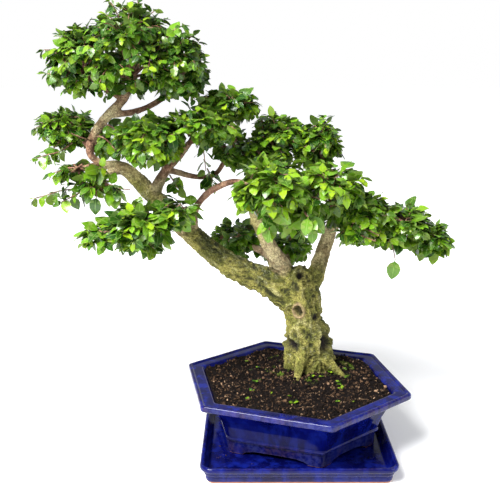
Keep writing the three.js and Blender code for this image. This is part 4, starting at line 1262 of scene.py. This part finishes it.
LEAF_ROWS = np.array([0, 0.11, 0.21, 0.42, 0.67, 0.88])
LEAF_HALF_WIDTHS = np.array([0.06, 0.07, 0.66, 1, 0.86, 0.42])
LEAF_LENGTHS = (0.7, 1.15)
FIRST_LEAF_LENGTH = 1.08
LEAVES_SHORTER_OUTWARDS = 0.42
END_LEAF_LENGTHS = (0.5, 0.85)
END_LEAF_TURN = 0.35
LEAF_PAIR_FLATNESS = 0.6
LEAF_ARCH = (0.02, 0.28)
LEAF_FOLD = (0.02, 0.24)
LEAF_WAVE = 0.12
LEAF_WAVES = 9
LEAF_HANG = 0.35
LEAF_AHEAD = 0.45
LEAF_DROOP = 0.22
LEAF_TURN = 0.26
LEAF_TILT = 0.4
LEAF_SKYWARD = 0.95
LEAF_OUTWARD = 0.42
LEAF_RIM_ANGLE = math.radians(60)
LEAF_GREENS = ((0.012, 0.045, 0.004), (0.14, 0.3, 0.01))
LEAF_FRESH = (0.28, 0.42, 0.01)
LEAF_RIB = (0.25, 0.4, 0.09)
LEAF_MOTTLE = (0.02, 0.1, 0.01)
LEAF_UNDERSIDES = ((0.05, 0.1, 0.012), (0.18, 0.28, 0.03))
TWIG_STEPS = 4
TWIG_SIDES = 6
TWIG_RADII = (1.1, 0.6)
TWIG_LEAVES = 1.1
HANGING_LEAF_ALONG = np.array([-0.15, -0.1, -1])
HANGING_LEAF_FACE = np.array([-0.1, -1, 0.3])
SHADE_POWER = 1.5
FRESH_FROM = 0.5
FRESHNESS = (0.4, 1.6)
LEAF_SEED = 20240607


def spiral(count, start=0.0):
    """Directions spread evenly all round: a spiral from pole to pole by the golden angle."""
    height = 1 - (2 * np.arange(count) + 1) / count
    turn = np.arange(count) * GOLDEN_ANGLE + start
    ring = np.sqrt(1 - height ** 2)
    return np.stack([ring * np.cos(turn), ring * np.sin(turn), height], -1)


def half_axes(lobe, directions):
    """A lobe's half axes in each direction: it is flatter below its middle than above."""
    wide, deep, above, below = lobe[3:]
    high = np.where(directions[:, 2] > 0, above, below)
    return np.stack([np.full_like(high, wide, float), np.full_like(high, deep, float), high], -1)


def bent(start, end, lift, count):
    """Paths from start to end points, bowed upwards by a share of their length."""
    reach = np.linalg.norm(end - start, axis=1)[:, None, None]
    t = np.linspace(0, 1, count)[None, :, None]
    straight = start[:, None] * (1 - t) + end[:, None] * t
    return straight + UP * reach * lift * 4 * t * (1 - t)


def tapered(paths, radii, sides):
    """Tubes along paths, which taper evenly from the first radius to the last."""
    along = np.linspace(*radii, paths.shape[1])
    return lofted(tube_rings(paths, np.tile(along, (len(paths), 1)), sides))


def leaf_faces():
    """The faces of one leaf with four corners, those with three at its tip, and which of each
    are under it. Row r has its left edge, upper middle, right edge and lower middle at 4r to
    4r + 3, and the tip comes last."""
    left, upper, right, lower = (np.arange(len(LEAF_ROWS)) * 4 + k for k in range(4))
    quads = [[left[0], lower[0], right[0], upper[0]]]
    for a in range(len(LEAF_ROWS) - 1):
        b = a + 1
        quads += [[left[a], upper[a], upper[b], left[b]], [upper[a], right[a], right[b], upper[b]],
                  [lower[a], left[a], left[b], lower[b]], [right[a], lower[a], lower[b], right[b]]]
    tip = 4 * len(LEAF_ROWS)
    ends = [[left[-1], upper[-1], tip], [upper[-1], right[-1], tip],
            [lower[-1], left[-1], tip], [right[-1], lower[-1], tip]]
    under = [0.5] + [0, 0, 1, 1] * (len(LEAF_ROWS) - 1)
    return np.array(quads), np.array(ends), np.array(under), np.array([0, 0, 1, 1])


def leaf_points(rng, base, along, face, length):
    """The points of all leaves: [leaf, point, xyz]. A leaf runs from its base along its own
    direction. A share v of its length out, its midrib is raised by v - 1.7v^2 times its arch,
    its edges are folded up by a share of its width there, and they wave as a sine does."""
    count = len(base)
    along = unit(along)
    side = unit(np.cross(along, face))
    normal = np.cross(side, along)
    half = length * rng.uniform(*LEAF_WIDTH, count) / 2
    arch = rng.uniform(*LEAF_ARCH, (count, 1))
    fold = rng.uniform(*LEAF_FOLD, (count, 1))
    phase = rng.uniform(0, 2 * np.pi, (count, 1))
    v = np.append(LEAF_ROWS, 1)
    w = np.append(LEAF_HALF_WIDTHS, 0)
    spine = length[:, None] * arch * (v - 1.7 * v * v)
    edge = half[:, None] * w
    wave = LEAF_WAVE * np.sin(LEAF_WAVES * v + phase) * edge
    raised = spine + fold * edge
    thick = LEAF_THICKNESS / 2 * np.ones_like(spine)
    reach = length[:, None] * v * np.ones_like(spine)
    across = np.stack([-edge, 0 * edge, edge, 0 * edge], -1)
    height = np.stack([raised + wave, spine + thick, raised - wave, spine - thick], -1)
    ahead = np.repeat(reach[..., None], 4, -1)
    grid = (base[:, None, None] + ahead[..., None] * along[:, None, None]
            + across[..., None] * side[:, None, None] + height[..., None] * normal[:, None, None])
    return grid.reshape(count, -1, 3)[:, :4 * len(LEAF_ROWS) + 1]


def privet_leaf():
    """Leathery leaves: dark glossy green above, paler and dull below, yellow-green when new,
    with a light midrib. The mesh carries shade, freshness and underside."""
    leaf = Finish("privet_leaf", {"Specular IOR Level": 0.42, "Subsurface Weight": 0.12,
                                  "Subsurface Radius": (0.6, 1.0, 0.2), "Subsurface Scale": 0.001})
    shade = leaf.channel("leaf", "Red")
    fresh = leaf.channel("leaf", "Green")
    under = leaf.channel("leaf", "Blue")
    across = leaf.add("SeparateXYZ", {"Vector": leaf.add("TexCoord", {}, "UV")}, "X")
    apart = leaf.math("ABSOLUTE", leaf.math("SUBTRACT", across, 0.5), 0)
    rib = leaf.between(apart, 0.05, 0.02)
    mottle = leaf.noise(6, 3)
    green = leaf.mix(shade, *LEAF_GREENS)
    green = leaf.mix(fresh, green, LEAF_FRESH)
    green = leaf.mix(leaf.math("MULTIPLY", rib, 0.35), green, LEAF_RIB)
    mottled = leaf.math("MULTIPLY", leaf.between(mottle, 0.4, 0.8), 0.3)
    green = leaf.mix(mottled, green, LEAF_MOTTLE)
    dull = leaf.mix(shade, *LEAF_UNDERSIDES)
    rough = leaf.math("ADD", leaf.math("MULTIPLY", under, 0.35), 0.26)
    return leaf.done({"Base Color": leaf.mix(under, green, dull), "Roughness": rough,
                      "Normal": leaf.bump(leaf.noise(2.5, 2), 0.12)})


def shoot_tips(rng, lobe, others, leaf, room):
    """Where a lobe's shoots end, and which way is out there. They are spread evenly over its
    surface, a spiral thinned by how much the surface is squeezed, with gaps where a noise is
    low and fewer on its underside, and none inside the other lobes."""
    centre = np.array(lobe[:3])
    wide, deep, above, below = lobe[3:]
    high = (above + below) / 2
    area = 4 * np.pi * (((wide * deep) ** 1.6 + (wide * high) ** 1.6 + (deep * high) ** 1.6) / 3) ** 0.625
    directions = spiral(int(2 * area / (room * leaf) ** 2), rng.uniform(0, 6))
    directions = unit(directions + rng.normal(0, SHOOT_STRAY, directions.shape))
    axes = half_axes(lobe, directions)
    stretch = np.prod(axes, axis=1) * np.linalg.norm(directions / axes, axis=1)
    kept = rng.random(len(axes)) < stretch / stretch.max()
    surface = centre + directions * axes
    kept &= lumps(surface, SHOOT_CLUMP) > SHOOT_GAP_BELOW
    kept &= rng.random(len(axes)) < 1 + SHOOTS_THINNED_BELOW * np.minimum(directions[:, 2], 0)
    directions, axes, surface = directions[kept], axes[kept], surface[kept]
    reach = rng.uniform(*SHOOT_REACH, (len(axes), 1))
    reach *= 1 + SHOOT_CLUMP_REACH * lumps(surface + 40, SHOOT_CLUMP)[:, None]
    reach[rng.random(len(axes)) < LONG_SHOOTS] = LONG_SHOOT_REACH
    tips = centre + directions * (axes - SHOOT_SHORT_OF_EDGE * leaf) * reach
    for other in others:
        apart = (tips - other[:3]) / half_axes(other, tips - other[:3])
        outside = np.linalg.norm(apart, axis=1) > LOBE_OVERLAP
        tips, directions, axes = tips[outside], directions[outside], axes[outside]
    return tips, unit(directions / axes)


def arms_of(lobe):
    """The forks inside a lobe: arms from its branch's end out to half of its size."""
    centre = np.array(lobe[:3])
    near = np.argmin(np.linalg.norm(wood_middles[:, :3] - centre, axis=1))
    start = wood_middles[near, :3]
    directions = spiral(ARMS_PER_LOBE)
    ends = centre + directions * half_axes(lobe, directions) * ARM_REACH
    return bent(np.repeat(start[None], ARMS_PER_LOBE, 0), ends, ARM_LIFT, ARM_POINTS)


def leaves_on(rng, paths, outward, pairs, size):
    """Base, direction, facing, length and freshness of the leaves on shoots: pairs along the
    outer part of each path, every pair turned a quarter round from the last, and one leaf
    at the end. Leaves face up and out, and those on a pad's sides hang down over it."""
    count = len(paths)
    places = np.linspace(LEAVES_FROM, 1, pairs)
    index = places * (paths.shape[1] - 1)
    low = np.minimum(index.astype(int), paths.shape[1] - 2)
    share = (index - low)[None, :, None]
    node = paths[:, low] * (1 - share) + paths[:, low + 1] * share
    heading = unit(paths[:, low + 1] - paths[:, low])
    level = unit(np.cross(heading, UP) + 1e-6)
    square = np.cross(heading, level)
    quarter = rng.uniform(0, np.pi, (count, 1)) + np.arange(pairs) * np.pi / 2
    aside = np.cos(quarter)[..., None] * level + np.sin(quarter)[..., None] * square
    aside[..., 2] *= LEAF_PAIR_FLATNESS
    both = np.stack([aside, -aside], 2)
    shape = both.shape
    hang = LEAF_HANG * (outward * outward[:, 2:] - UP)
    along = both + LEAF_AHEAD * heading[:, :, None] + hang[:, None, None]
    along += rng.normal(0, LEAF_TURN, shape) - [0, 0, LEAF_DROOP]
    outward_face = LEAF_SKYWARD * UP + LEAF_OUTWARD * outward
    facing_to = outward_face[:, None, None] + rng.normal(0, LEAF_TILT, shape)
    youth = np.linspace(0, 1, pairs)[None, :, None] * np.ones(shape[:3])
    shorter = FIRST_LEAF_LENGTH - LEAVES_SHORTER_OUTWARDS * youth ** 3
    length = size * shorter * rng.uniform(*LEAF_LENGTHS, shape[:3])
    base = np.repeat(node[:, :, None], 2, 2)
    end = unit(paths[:, -1] - paths[:, -2]) * [1, 1, 0.5]
    end = end + rng.normal(0, END_LEAF_TURN, (count, 3)) + hang
    tip_face = outward_face + rng.normal(0, LEAF_TILT, (count, 3))
    return (
        np.vstack([base.reshape(-1, 3), paths[:, -1]]),
        np.vstack([along.reshape(-1, 3), end]),
        np.vstack([facing_to.reshape(-1, 3), tip_face]),
        np.append(length.ravel(), size * rng.uniform(*END_LEAF_LENGTHS, count)),
        np.append(youth.ravel(), np.ones(count)),
    )


def one_leaf(base, length):
    """A single leaf that hangs from its shoot, with its face to the front."""
    return base[None], HANGING_LEAF_ALONG[None], HANGING_LEAF_FACE[None], np.array([length]), np.zeros(1)


def spray_of_leaves(name, rng, groups, fresh, replaced, dark=SHADE_POWER):
    """All leaves of a pad as one piece, with shade, freshness and underside at each corner."""
    base, along, face, length, youth = (np.concatenate(part) for part in zip(*groups))
    points = leaf_points(rng, base, along, face, length)
    count, each = points.shape[:2]
    quads, ends, quads_under, ends_under = leaf_faces()
    faces = repeated(quads, count, each).tolist() + repeated(ends, count, each).tolist()
    piece = new_piece(name, points.reshape(-1, 3), faces, leaf_skin, "privet_leaf", replaced)
    piece.data.set_sharp_from_angle(angle=LEAF_RIM_ANGLE)
    under = np.append(np.tile(np.repeat(quads_under, 4), count), np.tile(np.repeat(ends_under, 3), count))
    # each leaf's tone is random, and the pad's dark power shifts it as painted shade or light over the
    # whole pad
    shade = rng.random(count) ** dark
    flush = np.clip(youth - FRESH_FROM, 0, 1) * (rng.random(count) < fresh * 2)
    flush *= rng.uniform(*FRESHNESS, count)
    per_corner = [np.append(np.repeat(values, quads.size), np.repeat(values, ends.size))
                  for values in (shade, np.clip(flush, 0, 1))]
    paint(piece, "leaf", [*per_corner, under], "CORNER")
    across = np.append(np.tile([0, 0.5, 1, 0.5], len(LEAF_ROWS)), 0.5)
    ahead = np.append(np.repeat(LEAF_ROWS, 4), 1)
    order = np.append(np.tile(quads.ravel(), count), np.tile(ends.ravel(), count))
    places = np.stack([across[order], ahead[order]], -1)
    piece.data.uv_layers.new(name="leaf_outline").data.foreach_set("uv", places.ravel())


def leafy_pad(name, pad):
    """One pad: the arms and leafy shoots in its lobes, and the twigs that reach out of them."""
    rng = np.random.default_rng([LEAF_SEED, *name.encode()])
    leafy = pad.get("twigs", [])
    hanging = pad.get("hanging", [])
    tubes = []
    groups = []
    for lobe in pad["lobes"]:
        others = [other for other in pad["lobes"] if other is not lobe]
        arms = arms_of(lobe)
        tubes.append(tapered(arms, ARM_RADII, ARM_SIDES))
        tips, outward = shoot_tips(rng, lobe, others, pad["leaf"], pad.get("room", SHOOT_ROOM))
        apart = np.linalg.norm(tips[:, None] - arms[None, :, -1], axis=-1)
        starts = arms[np.argmin(apart, axis=1), -1]
        shoots = bent(starts, tips, SHOOT_LIFT, SHOOT_POINTS)
        tubes.append(tapered(shoots, SHOOT_RADII, SHOOT_SIDES))
        groups.append(leaves_on(rng, shoots, outward, LEAF_PAIRS, pad["leaf"]))
    for twig in leafy + pad.get("bare", []) + [twig for twig, length in hanging]:
        path = curve_through(twig, TWIG_STEPS)[None]
        tubes.append(tapered(path, TWIG_RADII, TWIG_SIDES))
        if twig in leafy:
            outward = unit(path[:, -1] - path[:, 0])
            pairs = LEAF_PAIRS + len(twig) - 3
            groups.append(leaves_on(rng, path, outward, pairs, pad["leaf"] * TWIG_LEAVES))
    groups += [one_leaf(np.array(twig[-1], float), length) for twig, length in hanging]
    twigs = new_piece(f"{name}_twigs", *joined(tubes), bark, "privet_bark")
    paint(twigs, "bark", [0, 0, 0])
    spray_of_leaves(f"{name}_leaves", rng, groups, pad["fresh"], [f"leaves_{name}"],
                    pad.get("dark", SHADE_POWER))


leaf_skin = privet_leaf()
wood_middles = np.vstack(limb_curves)
for name, pad in PADS.items():
    leafy_pad(name, pad)

# Seedlings: weeds that have come up in the soil, each with a few small leaves close to the
# ground. They grow out of the soil.
SEEDLINGS = [
    # x, y, length of a leaf and number of leaves
    [-6, -71, 9, 3], [-3, -66, 5, 2], [-50, 34, 6, 4], [-52, -7, 6, 3], [-48, -5, 4, 2], [58, -20, 5, 4],
    [48, 12, 5, 3], [23, -2, 6, 4], [30, 1, 5, 4], [36, -3, 5, 3], [56, -16, 6, 4], [58, -30, 7, 4],
    [61, -26, 5, 3], [-62, -59, 5, 3], [-57, -38, 6, 3], [-33, -43, 5, 2], [-9, -52, 4, 2],
    [68, -3, 5, 3], [68, -71, 4, 2], [50, -68, 5, 3], [-65, 60, 5, 3], [70, 26, 6, 3], [-58, 34, 4, 2],
]
SEEDLING_RISE = 0.35
SEEDLING_STALK = 1.5
SEEDLING_FRESH = 0.25
SEEDLING_DARK = 2.2
SEEDLING_SIZES = (0.6, 0.9)
SEEDLING_TILT = 0.25
SEEDLING_SEED = 7


def seedlings():
    """A rosette at each place: its leaves point outwards and up, a golden angle apart."""
    rng = np.random.default_rng(SEEDLING_SEED)
    x, y, length, leaves = np.array(SEEDLINGS, float).T
    each = leaves.astype(int)
    place = np.stack([x, y, soil_height(x, y) + SEEDLING_STALK], -1)
    count = each.sum()
    turn = np.arange(count) * GOLDEN_ANGLE + rng.uniform(0, 0.5, count)
    along = around(turn, SEEDLING_RISE)
    face = UP + rng.normal(0, SEEDLING_TILT, (count, 3))
    size = np.repeat(length, each) * rng.uniform(*SEEDLING_SIZES, count)
    rosettes = (np.repeat(place, each, axis=0), along, face, size, np.ones(count))
    spray_of_leaves("seedling_leaves", rng, [rosettes], SEEDLING_FRESH, (), SEEDLING_DARK)


seedlings()
